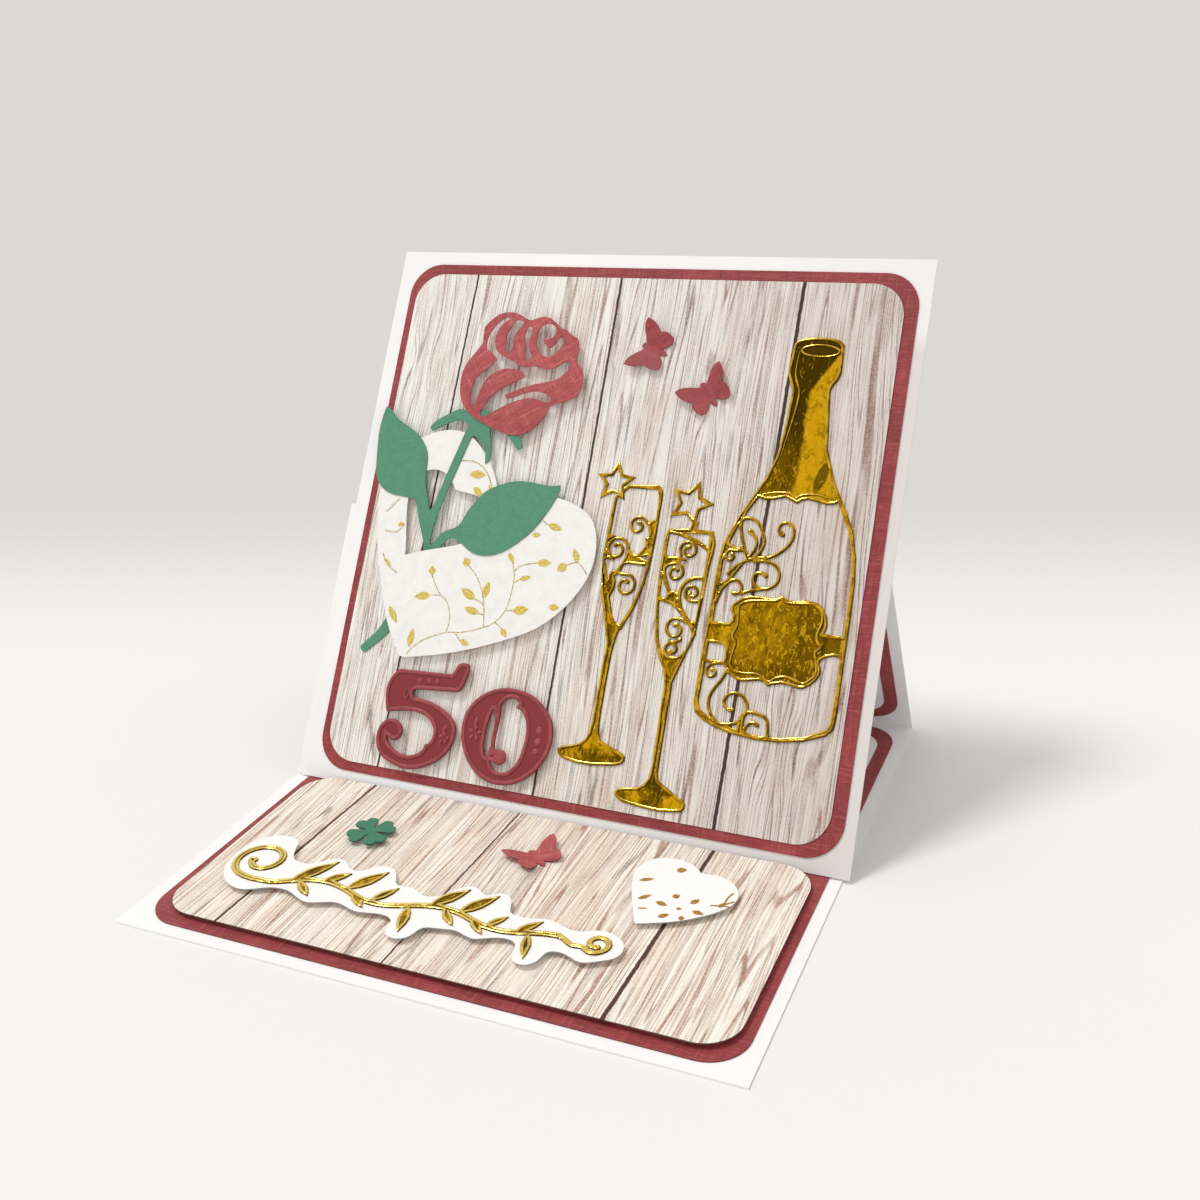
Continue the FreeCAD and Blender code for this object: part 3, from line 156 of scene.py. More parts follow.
class Finish:
    # a material, with the sheet's own right and up in millimetres at hand
    def __init__(self, name, plane="panel", **constants):
        self.material = bpy.data.materials.new(name)
        self.material.use_nodes = True
        self.tree = self.material.node_tree
        self.shader = self.tree.nodes["Principled BSDF"]
        for socket, value in constants.items():
            self.shader.inputs[socket.replace("_", " ")].default_value = value
        origin, across, along, normal = planes[plane]
        self.spot = self.node("ShaderNodeTexCoord", out="Object")
        self.right = self.along(across, origin)
        self.up = self.along(along, origin)
        self.normal = normal
        self.corner = along - across  # the way to the sheet's upper left corner

    def node(self, kind, settings=None, values=None, out=0):
        made = self.tree.nodes.new(kind)
        for name, value in (settings or {}).items():
            if name == "stops":
                ramp = made.color_ramp
                while len(ramp.elements) < len(value):
                    ramp.elements.new(0.5)
                for element, (spot, colour) in zip(ramp.elements, value):
                    element.position = spot
                    element.color = colour
            else:
                setattr(made, name, value)
        for name, value in (values or {}).items():
            self.feed(made.inputs[name], value)
        return Flow(self, made.outputs[out])

    def feed(self, socket, value):
        if isinstance(value, Flow):
            self.tree.links.new(value.socket, socket)
        else:
            socket.default_value = value

    def reach(self, vector, direction):
        # how far a vector goes in a direction
        values = {0: vector, 1: tuple(direction)}
        return self.node("ShaderNodeVectorMath", {"operation": "DOT_PRODUCT"}, values, out="Value")

    def along(self, direction, origin):
        # millimetres from the sheet's origin
        return (self.reach(self.spot, direction) - origin.dot(direction)) * (1 / mm)

    def spread(self, across, along, third=0.0):
        # a point for a texture, with its own stretch each way
        values = {0: self.right * across, 1: self.up * along, 2: third}
        return self.node("ShaderNodeCombineXYZ", None, values)

    def noise(self, across, along, third=0.0, detail=4.0, rough=0.55, twist=0.0):
        values = {"Vector": self.spread(across, along, third), "Scale": 1.0, "Detail": detail,
                  "Roughness": rough, "Distortion": twist}
        return self.node("ShaderNodeTexNoise", None, values)

    def blend(self, mask, first, second, how="MIX"):
        return self.node("ShaderNodeMix", {"data_type": "RGBA", "blend_type": how, "clamp_factor": True},
                         {0: mask, 6: first, 7: second}, out=2)

    def bump(self, height, deep, strength=1.0):
        # deep is the height in millimetres that a value of one stands for
        values = {"Height": height, "Distance": deep * mm, "Strength": strength}
        self.paint("Normal", self.node("ShaderNodeBump", None, values))

    def paint(self, socket, value):
        self.feed(self.shader.inputs[socket], value)
        return self

    def facing(self):
        return self.node("ShaderNodeNewGeometry", out="Normal")

    def wall(self):
        # one on the cut edges of a sheet, nought on its faces
        return self.reach(self.facing(), self.normal).size() < 0.6

    def towards(self, low=0.1, high=0.5, away=False):
        # one where a surface turns to the upper left of its sheet, or away from there
        way = self.corner.normalized() * (-1 if away else 1)
        return self.reach(self.facing(), way).step(low, high)

    def cutSide(self):
        # one on the left and right edges of a folded sheet
        return self.node("ShaderNodeSeparateXYZ", None, {0: self.facing()}).size() > 0.8

    def pick(self, where, first, second):
        # the second value where the mask is one, and the first elsewhere
        return first * (1 - where) + second * where

    def inside(self, left, right, low, high):
        # one within a box on the sheet
        return (self.right > left) * (self.right < right) * (self.up > low) * (self.up < high)


def dress(finish, *names):
    for name in names:
        data = nodes[name].data
        data.materials.clear()
        data.materials.append(finish.material)


# floor and light
studio = {
    # the floor's reach in metres and how far it lies under the card in millimetres
    "reach": 12, "drop": 0.05,
    # its tones, with the way and the millimetres over which it is painted darker behind the card, as painted
    # shade
    "pale": (241, 241, 240), "far": (213, 212, 210), "fadeTurn": 17, "fadeFrom": 80, "fadeTo": 265,
    # the sky's colour, the way to the lamp, its power and its width in degrees
    "sky": (219, 217, 211), "sun": (-0.4, -0.08, 0.915), "sunPower": 1.2, "sunSoft": 15,
}


def studioFinish():
    finish = Finish("paleFloor", "base", Roughness=0.9)
    turn = math.radians(studio["fadeTurn"])
    away = finish.up * math.cos(turn) - finish.right * math.sin(turn)
    # painted shade: the floor is painted darker along a fixed way behind the card
    fade = away.step(studio["fadeFrom"], studio["fadeTo"])
    return finish.paint("Base Color", finish.blend(fade, tone(*studio["pale"]), tone(*studio["far"])))


def makeStudio():
    mesh = bpy.data.meshes.new("floor")
    reach = studio["reach"]
    corners = [(-reach, -reach, 0), (reach, -reach, 0), (reach, reach, 0), (-reach, reach, 0)]
    mesh.from_pydata(corners, [], [(0, 1, 2, 3)])
    floor = bpy.data.objects.new("floor", mesh)
    floor.location.z = -studio["drop"] * mm
    scene.collection.objects.link(floor)
    mesh.materials.append(studioFinish().material)
    sun = bpy.data.lights.new("keyLight", "SUN")
    sun.energy = studio["sunPower"]
    sun.angle = math.radians(studio["sunSoft"])
    lamp = bpy.data.objects.new("keyLight", sun)
    lamp.rotation_euler = Vector(studio["sun"]).to_track_quat("Z", "Y").to_euler()
    scene.collection.objects.link(lamp)
    world = bpy.data.worlds.new("studio")
    world.use_nodes = True
    world.node_tree.nodes["Background"].inputs["Color"].default_value = tone(*studio["sky"])
    scene.world = world
    scene.view_settings.view_transform = "Standard"


makeStudio()
print("studio ready")


# card and paper
def paintedFallOff(finish):
    # painted shade: one towards the panel's right, where its colour is painted dimmer because the lamp's
    # light lies fuller on the left of the panel than on its right
    return finish.right.step(-30, 95)


def pearlCard(name, plane):
    # smooth pearl card with a faint lilac cast and small glints
    finish = Finish(name, plane, Roughness=0.5, Sheen_Weight=0.1)
    speck = finish.noise(4, 4, detail=3)
    broad = finish.noise(0.05, 0.05, detail=2)
    face = finish.blend(broad.step(0.35, 0.65), tone(255, 255, 255), tone(252, 251, 254))
    if plane == "panel":
        # painted shade: the white panel is painted dimmer towards its right, except on its top strip
        paintedDim = paintedFallOff(finish) * (1 - finish.up.step(125, 133) * 0.8)
        face = finish.blend(paintedDim, face, tone(228, 221, 220))
    face = finish.blend(speck.step(0.58, 0.72) * 0.5, face, tone(255, 254, 255))
    finish.paint("Base Color", finish.blend(finish.cutSide() * 0.5, face, tone(205, 190, 165)))
    finish.paint("Roughness", 0.55 - speck * 0.25)
    finish.bump(speck, 0.02, 0.5)
    return finish


linen = {
    "threads": 3.4, "run": 0.22,
    # the card's dark and middle tones, which it varies between at random, and a light tone for its fibres;
    # the light tone is also painted as highlight on the raised threads, the dark one as shade between them
    "mat": ((122, 34, 40), (158, 54, 58), (196, 98, 98)),
    "petal": ((152, 54, 60), (180, 72, 78), (226, 134, 132)),
    "rim": ((134, 44, 50), (164, 62, 70), (192, 98, 102)),
}


def linenCard(name, plane, tones="mat", turn=0):
    # maroon card pressed with crossed linen threads
    finish = Finish(name, plane, Roughness=0.6, Sheen_Weight=0.1)
    cosine, sine = math.cos(math.radians(turn)), math.sin(math.radians(turn))
    right, up = finish.right, finish.up
    finish.right, finish.up = right * cosine + up * sine, up * cosine - right * sine
    dark, middle, light = [tone(*colour) for colour in linen[tones]]
    across = finish.noise(linen["run"] * 0.6, linen["threads"] * 0.5, 1.5, detail=2)
    along = finish.noise(linen["threads"] * 0.55, linen["run"] * 0.6, 7.5, detail=2)
    fibre = finish.noise(linen["run"] * 2, linen["threads"] * 1.6, 4.5, detail=3)
    broad = finish.noise(0.08, 0.08, 3, detail=2)
    face = finish.blend(0.35 + broad.step(0.3, 0.7) * 0.65, dark, middle)
    face = finish.blend(fibre.step(0.46, 0.7) * 0.4, face, light)
    # painted highlight on the raised threads, and painted shade in the hollows between them
    face = finish.blend(across.most(along).step(0.58, 0.7) * 0.36, face, light)
    face = finish.blend((1 - across.least(along).step(0.3, 0.44)) * 0.6, face, dark)
    # painted highlight on the cut edges that face the upper left, and painted shade on those turned away
    face = finish.blend(finish.wall() * finish.towards() * 0.5, face, tone(222, 150, 146))
    face = finish.blend(finish.wall() * finish.towards(away=True) * 0.7, face, tone(84, 24, 28))
    finish.paint("Base Color", face)
    finish.bump(across.most(along) + fibre * 0.4, 0.08, 0.7)
    return finish


planks = {
    # a seam's place at the foot of the sheet, how far it runs to the right per millimetre up, its width;
    # a knot's place and reach, how far the lines swing round it; the strength of the fine streaks
    "panel": {"seams": ((-50.3, 0.0145, 0.45), (-4.6, -0.0035, 0.55), (43.2, 0.011, 0.85)),
              "knots": ((55.7, 26, 2.6), (25.7, 112, 2.2), (-60.3, 118, 2.4)),
              "swing": 1.0, "streaks": 0.24},
    "base": {"seams": ((-49.2, 0.03, 0.6), (-7, 0.012, 0.4), (44.4, 0.02, 0.9)),
             "knots": ((34, -57, 1.6), (38.5, -61.5, 1.2), (-24, -19, 2.0)),
             "swing": 0.7, "streaks": 0.42},
}
woodTones = {
    # pale wash, bare board, grain, darkest lines
    "panel": ((255, 254, 249), (240, 230, 220), (166, 134, 120), (66, 44, 38)),
    "base": ((255, 251, 243), (251, 238, 221), (172, 124, 100), (84, 48, 38)),
}
# how often a swell of the grain turns across and along the boards, its seed, its lines and how wide they are
swells = ((0.08, 0.0025, 1, 16, 0.045), (0.15, 0.003, 5, 26, 0.075), (0.32, 0.003, 9, 24, 0.1))


def woodPrint(name, plane):
    # whitewashed boards, printed on felt-marked card: bare boards, brown grain lines, dark seams
    finish = Finish(name, plane, Roughness=0.75)
    pale, bare, grain, dark = [tone(*colour) for colour in woodTones[plane]]
    board, seams = 0.0, 0.0
    for start, slope, wide in planks[plane]["seams"]:
        gap = finish.right - finish.up * slope - start
        board = (gap > 0) + board
        ragged = finish.noise(0.3, 0.5, start, detail=3) - 0.5
        near = 1 - (gap + ragged * 0.5).size().step(wide * 0.4, wide * 0.6 + 0.12)
        seams = near.most(seams)
    shift = board * 17.3
    bow = finish.noise(0.02, 0.012, shift, detail=1) * 7
    at = finish.right + bow
    for right, up, reach in planks[plane]["knots"]:
        # the lines swing out round a knot
        aside, over = finish.right - right, finish.up - up
        near = 1 - (aside * aside * 1.4 + over * over * 0.16).root().step(0, reach * 2.6)
        at = at + near * aside * planks[plane]["swing"]
    ragged = finish.noise(0.9, 0.035, shift + 2, detail=4)
    lines = []
    for across, along, seed, count, wide in swells:
        # grain as contour lines of a long soft swell
        values = {0: at * across, 1: finish.up * along, 2: shift + seed}
        point = finish.node("ShaderNodeCombineXYZ", None, values)
        swell = finish.node("ShaderNodeTexNoise", None,
                            {"Vector": point, "Scale": 1.0, "Detail": 1.0, "Roughness": 0.4})
        spot = (swell * count + ragged * 0.2).part() - 0.5
        lines.append(1 - spot.size().step(wide * 0.6, wide * 1.9))
    worn = finish.noise(0.16, 0.03, shift + 3, detail=4, rough=0.6)
    broken = finish.noise(0.5, 0.06, shift + 7, detail=3).step(0.36, 0.58)
    streaks = finish.noise(1.7, 0.012, shift + 4, detail=2, rough=0.5).step(0.5, 0.62)
    flecks = finish.noise(2.2, 0.12, shift + 6, detail=3).step(0.6, 0.7)
    face = finish.blend(worn.step(0.32, 0.56), bare, pale)
    face = finish.blend(streaks * planks[plane]["streaks"], face, grain)
    face = finish.blend(lines[2] * broken * 0.5, face, grain)
    face = finish.blend(lines[1] * (0.45 + broken * 0.5), face, grain)
    face = finish.blend(lines[0] * broken * 0.5, face, dark)
    face = finish.blend(flecks * 0.3, face, grain)
    felt = finish.noise(2.0, 2.6, 2, detail=3, rough=0.6, twist=1.2)
    face = finish.blend(felt.step(0.48, 0.62) * 0.4, face, pale)
    face = finish.blend((1 - felt.step(0.36, 0.48)) * 0.1, face, grain)
    if plane == "panel":
        # painted shade: the boards on the panel are painted dimmer towards its right
        face = finish.blend(paintedFallOff(finish) * 0.85, face, tone(220, 208, 208), "MULTIPLY")
    face = finish.blend(seams, face, dark)
    # the cut edges are painted dark brown: partly the card's own edge colour, partly painted shade
    finish.paint("Base Color", finish.blend(finish.wall() * 0.9, face, tone(92, 66, 50)))
    finish.bump(felt - lines[1] * 0.2, 0.09, 0.8)
    return finish


def plainCard(name, plane, face, edge, mottle, rough=0.75, shade=0.5):
    # dyed card with a fine felted tooth; edge is the colour of the painted highlight on its cut edges on the
    # side to the light, and shade is how dark they are painted on the side away from the light
    finish = Finish(name, plane, Roughness=rough)
    tooth = finish.noise(2.4, 2.4, detail=4, rough=0.7)
    cloud = finish.noise(0.35, 0.35, 5, detail=3)
    deep = tuple(value * (1 - 3 * mottle) for value in face)
    colour = finish.blend(tooth.step(0.42, 0.6) * mottle * 5, tone(*face), tone(*deep))
    colour = finish.blend(cloud.step(0.35, 0.7) * 0.25, colour, tone(*deep))
    # painted highlight on the cut edges that face the upper left, and painted shade on those turned away
    colour = finish.blend(finish.wall() * finish.towards() * 0.6, colour, tone(*edge))
    dark = tuple(value * (1 - shade) for value in face)
    colour = finish.blend(finish.wall() * finish.towards(away=True) * 0.8, colour, tone(*dark))
    finish.paint("Base Color", colour)
    finish.bump(tooth, 0.03, 0.5)
    return finish


def foamFinish():
    finish = Finish("foamTape", "base", Roughness=0.95)
    cells = finish.node("ShaderNodeTexVoronoi", None, {"Vector": finish.spot, "Scale": 3500.0})
    finish.paint("Base Color", finish.blend(cells.step(0.1, 0.6), tone(205, 205, 202), tone(240, 240, 238)))
    finish.bump(cells, 0.05, 0.8)
    return finish


gold = {
    # mid is the foil's own colour; bright and lit are painted highlights and light reflections, deep a
    # painted dark reflection, and edge painted shade on the edges turned away from the light
    "bright": (250, 198, 34), "lit": (236, 180, 22), "mid": (140, 103, 8), "deep": (80, 60, 8),
    "edge": (58, 42, 4),
    # the neck's left side and the heights where its foil starts
    "neckLeft": 38, "neckFoot": (86, 90),
    # the painted dark reflection on the neck: its edge at the foot, the height where it starts to slant, the
    # heights between which it fades in, and the place and reach of a painted dark patch
    "neck": (50.2, 114.5), "from": (94, 106), "patch": (56.4, 93.2, 1.4, 4.0),
    # boxes round the label and the band beside it, which is painted with dark reflection, then the place and
    # reach of the painted light reflection on the label
    "labelBox": (39.5, 63.5, 41, 63.5), "bandBox": (62.6, 67, 45, 56), "label": (44.5, 56, 14),
}


def foilTone(finish, dark, paintedGleam):
    # mirror card with its reflections painted: a smooth field of painted light and dark reflection, broken by
    # fine creases painted with bright glints and dark; the creases are also in the bump
    crease = finish.noise(1.0, 0.5, 5, detail=3, rough=0.6, twist=1.4)
    broad = finish.noise(0.45, 0.3, 11, detail=3, twist=0.8)
    face = finish.blend(paintedGleam * (0.5 + broad.step(0.36, 0.54) * 0.5), tone(*gold["mid"]), tone(*gold["lit"]))
    face = finish.blend((1 - broad.step(0.4, 0.5)) * (0.35 - paintedGleam * 0.25), face, tone(*gold["deep"]))
    face = finish.blend(crease.step(0.56, 0.61) * 0.7, face, tone(*gold["bright"]))
    face = finish.blend((1 - crease.step(0.38, 0.43)) * (0.55 - paintedGleam * 0.4), face, tone(*gold["deep"]))
    face = finish.blend(dark * (1 - crease.step(0.6, 0.68) * 0.5), face, tone(*gold["deep"]))
    # painted highlight on the sides that face the upper left, and painted shade on those turned away
    face = finish.blend(finish.towards(0.3, 0.7) * 0.85, face, tone(255, 226, 120))
    return finish.blend(finish.towards(0.25, 0.7, away=True) * 0.85, face, tone(*gold["edge"])), crease


def goldFoil(name, plane):
    finish = Finish(name, plane, Metallic=1.0, Roughness=0.2)
    # painted reflections: the foil is painted lighter and darker in patches at random
    patch = finish.noise(0.16, 0.12, 2, detail=4, rough=0.6, twist=1.0)
    paintedGleam = patch.step(0.42, 0.6)
    dark = (1 - patch.step(0.34, 0.46)) * 0.7
    if plane == "panel":
        # painted reflections set on the bottle: the dark on the neck and a dark patch on it, the light on the
        # label and the dark band beside it
        ragged = (finish.noise(0.9, 0.35, 8, detail=4, rough=0.7) - 0.5) * 3
        foot, slant = gold["neck"]
        edge = (finish.up - slant).most(0) * 0.62 + foot + ragged * (1 - finish.up.step(108, 116))
        onNeck = finish.up.step(*gold["neckFoot"]) * (finish.right > gold["neckLeft"])
        shaded = 1 - (finish.right - edge).step(-0.5, 0.5)
        low = finish.up.step(*gold["from"])
        right, up, wide, tall = gold["patch"]
        aside = finish.right - right - (finish.up - up) * 0.25
        off = (aside / wide).square() + ((finish.up - up) / tall).square()
        spot = 1 - (off + ragged * 0.25).step(0.7, 1.2)
        dark = finish.pick(onNeck, dark, (shaded * (0.2 + low * 0.8)).most(spot * 0.8))
        paintedGleam = finish.pick(onNeck, paintedGleam, 1 - shaded)
        right, up, reach = gold["label"]
        away = ((finish.right - right) / reach).square() + ((finish.up - up) / reach).square()
        onLabel = finish.inside(*gold["labelBox"])
        paintedGleam = finish.pick(onLabel, paintedGleam, (1 - away.step(0.05, 1.1)) * 0.5 * patch.step(0.3, 0.5))
        dark = finish.pick(onLabel, dark, away.step(0.8, 3.2) * 0.4)
        dark = dark.most(finish.inside(*gold["bandBox"]) * 0.75)
    face, crease = foilTone(finish, dark, paintedGleam)
    pits = finish.noise(3.2, 3.2, 9, detail=2)
    finish.paint("Base Color", face)
    finish.paint("Roughness", 0.12 + pits * 0.14)
    finish.bump(patch * 1.2 + crease * 0.35 + pits * 0.05, 0.25, 0.7)
    return finish


def dressNodes():
    dress(pearlCard("pearlBase", "base"), "easel_sheet")
    dress(pearlCard("pearlPanel", "panel"), "front_panel")
    dress(linenCard("linenPanel", "panel"), "front_mat")
    dress(linenCard("linenPetal", "panel", "petal", 34), "rose_bloom")
    dress(linenCard("linenFlutter", "panel", "rim", 34), "butterfly_1", "butterfly_2")
    dress(linenCard("linenBase", "base"), "base_mat")
    dress(linenCard("linenWing", "base", "petal", 20), "butterfly_3")
    dress(linenCard("linenLeg", "leg"), "leg_mat")
    dress(woodPrint("woodPanel", "panel"), "front_wood_print")
    dress(woodPrint("woodBase", "base"), "base_wood_print")
    # the second colour of each plain card is the painted highlight on its cut edges
    dress(plainCard("whiteBase", "base", (255, 254, 254), (222, 216, 210), 0.015), "base_note_panel",
          "flourish_backing", "small_heart")
    dress(plainCard("whiteLeg", "leg", (244, 243, 246), (225, 222, 222), 0.03), "leg_note_panel")
    dress(plainCard("whitePanel", "panel", (255, 253, 251), (246, 244, 240), 0.04, shade=0.3), "heart")
    dress(plainCard("greenPanel", "panel", (93, 158, 127), (146, 196, 170), 0.09, shade=0.7), "rose_stem")
    dress(plainCard("greenBase", "base", (66, 134, 102), (120, 178, 148), 0.07, shade=0.7), "clover")
    dress(plainCard("redPanel", "panel", (142, 40, 48), (214, 124, 124), 0.07, rough=0.5), "numeral_five",
          "numeral_nought")
    dress(goldFoil("goldPanel", "panel"), "glass_left", "glass_right", "bottle")
    dress(goldFoil("goldBase", "base"), "flourish")
    dress(foamFinish(), "base_print_foam", "heart_foam", "rose_bloom_foam", "numeral_foam", "clover_foam",
          "small_heart_foam", "flourish_foam")


dressNodes()
print("materials ready")


# raised rims
def outlineLoops(node, plane):
    # the closed edges of a piece's top face, each with the card on its left
    normal = planes[plane][3]
    work = bmesh.new()
    work.from_mesh(nodes[node].data)
    bmesh.ops.remove_doubles(work, verts=work.verts, dist=1e-6)
    work.normal_update()
    highest = max(vert.co.dot(normal) for vert in work.verts)
    level = highest - 0.05 * mm
    top = [face for face in work.faces
           if face.normal.dot(normal) > 0.99 and face.calc_center_median().dot(normal) > level]
    onTop = set(top)  # only asked, never walked: its order changes from run to run
    following = {}
    for face in top:
        for corner in face.loops:
            if sum(other in onTop for other in corner.edge.link_faces) == 1:
                following[corner.vert.index] = corner.link_loop_next.vert.index
    work.verts.ensure_lookup_table()
    loops = []
    while following:
        start, spot = following.popitem()
        loop = [start]
        while spot != start and spot in following:
            loop.append(spot)
            spot = following.pop(spot)
        if len(loop) > 4:
            loops.append([work.verts[index].co.copy() for index in loop])
    work.free()
    return loops


def ridge(points, normal, half, rise, inset=0.0, closed=True, steps=5):
    # half-round bead that follows a line, set in from it; an open one narrows to its ends
    count = len(points)
    verts, faces = [], []
    for i, point in enumerate(points):
        first = point - points[i - 1] if closed or i else points[1] - point
        last = points[(i + 1) % count] - point if closed or i < count - 1 else first
        before, after = first.normalized(), last.normalized()
        inward = normal.cross(before) + normal.cross(after)
        if inward.length < 0.3:
            inward = normal.cross(before) * 0.3
        inward.normalize()
        stretch = 1 / max(0.6, inward.dot(normal.cross(before)))
        share = 1.0 if closed else 0.25 + 0.75 * min(1.0, 3 * min(i, count - 1 - i) / count)
        for k in range(steps + 1):
            angle = math.pi * k / steps
            verts.append(point + inward * stretch * (inset - half * share * math.cos(angle))
                         + normal * (rise * share * math.sin(angle)))
    ring = steps + 1
    for i in range(count if closed else count - 1):
        here, there = i * ring, (i + 1) % count * ring
        for k in range(ring):
            side = (k + 1) % ring
            faces.append((here + k, there + k, there + side, here + side))
    return verts, faces


def smoothPath(points, per=4, closed=False):
    # a curve through the points
    if closed:
        ends = [points[-1], *points, points[0], points[1]]
    else:
        ends = [points[0], *points, points[-1]]
    path = []
    for four in zip(ends, ends[1:], ends[2:], ends[3:]):
        for k in range(per):
            t = k / per
            path.append(tuple(0.5 * (2 * b + (c - a) * t + (2 * a - 5 * b + 4 * c - d) * t ** 2
                                     + (3 * b - a - 3 * c + d) * t ** 3) for a, b, c, d in zip(*four)))
    return path if closed else path + [points[-1]]


class Shapes:
    # gathers the small shapes of one raised or printed piece on a sheet
    layer = 0.004  # millimetres by which a printed shape lies over the one before

    def __init__(self, plane, out):
        self.plane, self.out = plane, out
        self.verts, self.faces = [], []

    def join(self, verts, faces):
        self.faces += [tuple(index + len(self.verts) for index in face) for face in faces]
        self.verts += verts

    def spots(self, points, lift=0.0):
        return [place(self.plane, right, up, self.out + lift) for right, up in points]

    def bead(self, points, half, rise, closed=False, per=4):
        path = smoothPath(points, per, closed) if per > 1 else points
        self.join(*ridge(self.spots(path), planes[self.plane][3], half * mm, rise * mm, closed=closed))

    def line(self, points, wide, per=4):
        # flat printed stroke
        path = [Vector(point) for point in smoothPath(points, per)]
        rows = []
        for i, point in enumerate(path):
            along = (path[min(i + 1, len(path) - 1)] - path[max(i - 1, 0)]).normalized()
            side = Vector((-along.y, along.x)) * wide / 2
            rows += [point + side, point - side]
        faces = [(2 * i, 2 * i + 1, 2 * i + 3, 2 * i + 2) for i in range(len(path) - 1)]
        self.join(self.spots(rows), faces)
        self.out += self.layer

    def leaf(self, footRight, footUp, tipRight, tipUp, wide, steps=6):
        foot, tip = Vector((footRight, footUp)), Vector((tipRight, tipUp))
        side = Vector((foot.y - tip.y, tip.x - foot.x)).normalized() * wide / 2
        edge = []
        for turn in (1, -1):
            for i in range(steps):
                share = i / steps if turn > 0 else 1 - i / steps
                edge.append(foot.lerp(tip, share) + side * turn * math.sin(math.pi * share ** 0.85))
        self.join(self.spots(edge), [tuple(range(len(edge)))])
        self.out += self.layer

    def dome(self, right, up, reach, rise, squash=1.0, sides=16, rings=4):
        rows = []
        for i in range(rings):
            angle = math.pi / 2 * i / rings
            rows += self.spots([(right + reach * math.cos(angle) * math.cos(2 * math.pi * k / sides),
                                 up + reach * squash * math.cos(angle) * math.sin(2 * math.pi * k / sides))
                                for k in range(sides)], rise * math.sin(angle))
        faces = []
        for foot in range(0, (rings - 1) * sides, sides):
            for k in range(sides):
                after = (k + 1) % sides
                faces.append((foot + k, foot + after, foot + sides + after, foot + sides + k))
        self.join(rows, faces + [tuple((rings - 1) * sides + k for k in range(sides))])

    def piece(self, name, finish, slot, smooth=True):
        addPiece(name, self.verts, self.faces, finish, smooth)


def addPiece(name, verts, faces, finish, smooth):
    mesh = bpy.data.meshes.new(name)
    mesh.from_pydata(verts, [], faces)
    mesh.materials.append(finish.material)
    if smooth:
        mesh.shade_smooth()
    piece = bpy.data.objects.new(name, mesh)
    scene.collection.objects.link(piece)
    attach(piece, "root")


def rimGold():
    # foil on the pressed beads, its reflections painted: lighter and darker at random, with a painted
    # highlight on the sides that face the upper left and painted shade on those turned away
    finish = Finish("goldRim", "panel", Metallic=1.0, Roughness=0.16)
    broad = finish.noise(0.3, 0.3, 6, detail=3, twist=0.8)
    face = finish.blend(broad.step(0.4, 0.6), tone(170, 122, 10), tone(236, 184, 36))
    face = finish.blend(finish.towards(0.08, 0.4), face, tone(255, 228, 128))
    face = finish.blend(finish.towards(0.1, 0.45, away=True), face, tone(74, 54, 6))
    finish.paint("Base Color", face)
    finish.bump(finish.noise(0.9, 0.9, 2, detail=3), 0.1, 0.4)
    return finish


rims = {
    # how far in from the edge, half the width, height
    "foil": (0.42, 0.4, 0.26), "flourish": (0.42, 0.4, 0.2), "numeral": (0.58, 0.52, 0.32),
}


def addRim(node, plane, finish, slot, sizes):
    # a half-round bead along every edge of a piece
    inset, half, rise = rims[sizes]
    shapes = Shapes(plane, 0)
    for loop in outlineLoops(node, plane):
        shapes.join(*ridge(loop, planes[plane][3], half * mm, rise * mm, inset * mm))
    shapes.piece(node + "_rim", finish, slot)


litAndShadedGold = rimGold()
rimRed = linenCard("redRim", "panel", "rim")
for node in ("glass_left", "glass_right", "bottle"):
    addRim(node, "panel", litAndShadedGold, "gold_mirror_card", "foil")
addRim("flourish", "base", litAndShadedGold, "gold_mirror_card", "flourish")
for node in ("numeral_five", "numeral_nought"):
    addRim(node, "panel", rimRed, "red_card", "numeral")
print("rims ready")


# pressed lines of the bottle
bottle = {
    "out": 0.9,
    # half width and height of each bead
    "beads": {"mouth": (0.3, 0.3), "neck": (0.34, 0.32), "wave": (0.36, 0.28), "label": (0.36, 0.3)},
    # the mouth's middle, half its width and half its height
    "mouth": (51.6, 125.2, 4.8, 1.5),
    "neck": [(46.4, 125.3), (46.1, 122.4), (46.2, 118.7), (47.1, 116.2), (47.8, 114.2), (47.6, 110),
             (46.8, 104.8), (46, 100.2), (45.3, 96)],
    "wave": [(41.6, 87.6), (45.3, 88.5), (49.3, 88.6), (51, 87.5), (52.4, 88.4), (56.3, 88.8), (59.6, 88)],
    "label": [(41, 59.3), (41.3, 56.4), (41.3, 54.4), (40.6, 52.8), (40.8, 51.4), (41.7, 50.5), (41.3, 48.5),
              (41, 45.5), (42, 43.9), (44.4, 43.5), (47.8, 43.7), (50, 42.8), (51.3, 42.3), (52.8, 43.4),
              (55.2, 44), (57.7, 43.4), (59.5, 42.9), (61, 44.1), (62.2, 45.7), (61.8, 48.7), (61.3, 50.6),
              (62.5, 52), (61.6, 53), (61.1, 54.9), (61.9, 57.9), (61.5, 60.3), (60.3, 61.6), (58.3, 62.1),
              (55.4, 61.8), (52.5, 61.7), (51.1, 62.5), (50, 61.9), (46.5, 61.5), (43.5, 61.1), (41.9, 60.4)],
}


def oval(right, up, wide, tall, count=28):
    turns = [2 * math.pi * k / count for k in range(count)]
    return [(right + wide * math.cos(turn), up + tall * math.sin(turn)) for turn in turns]


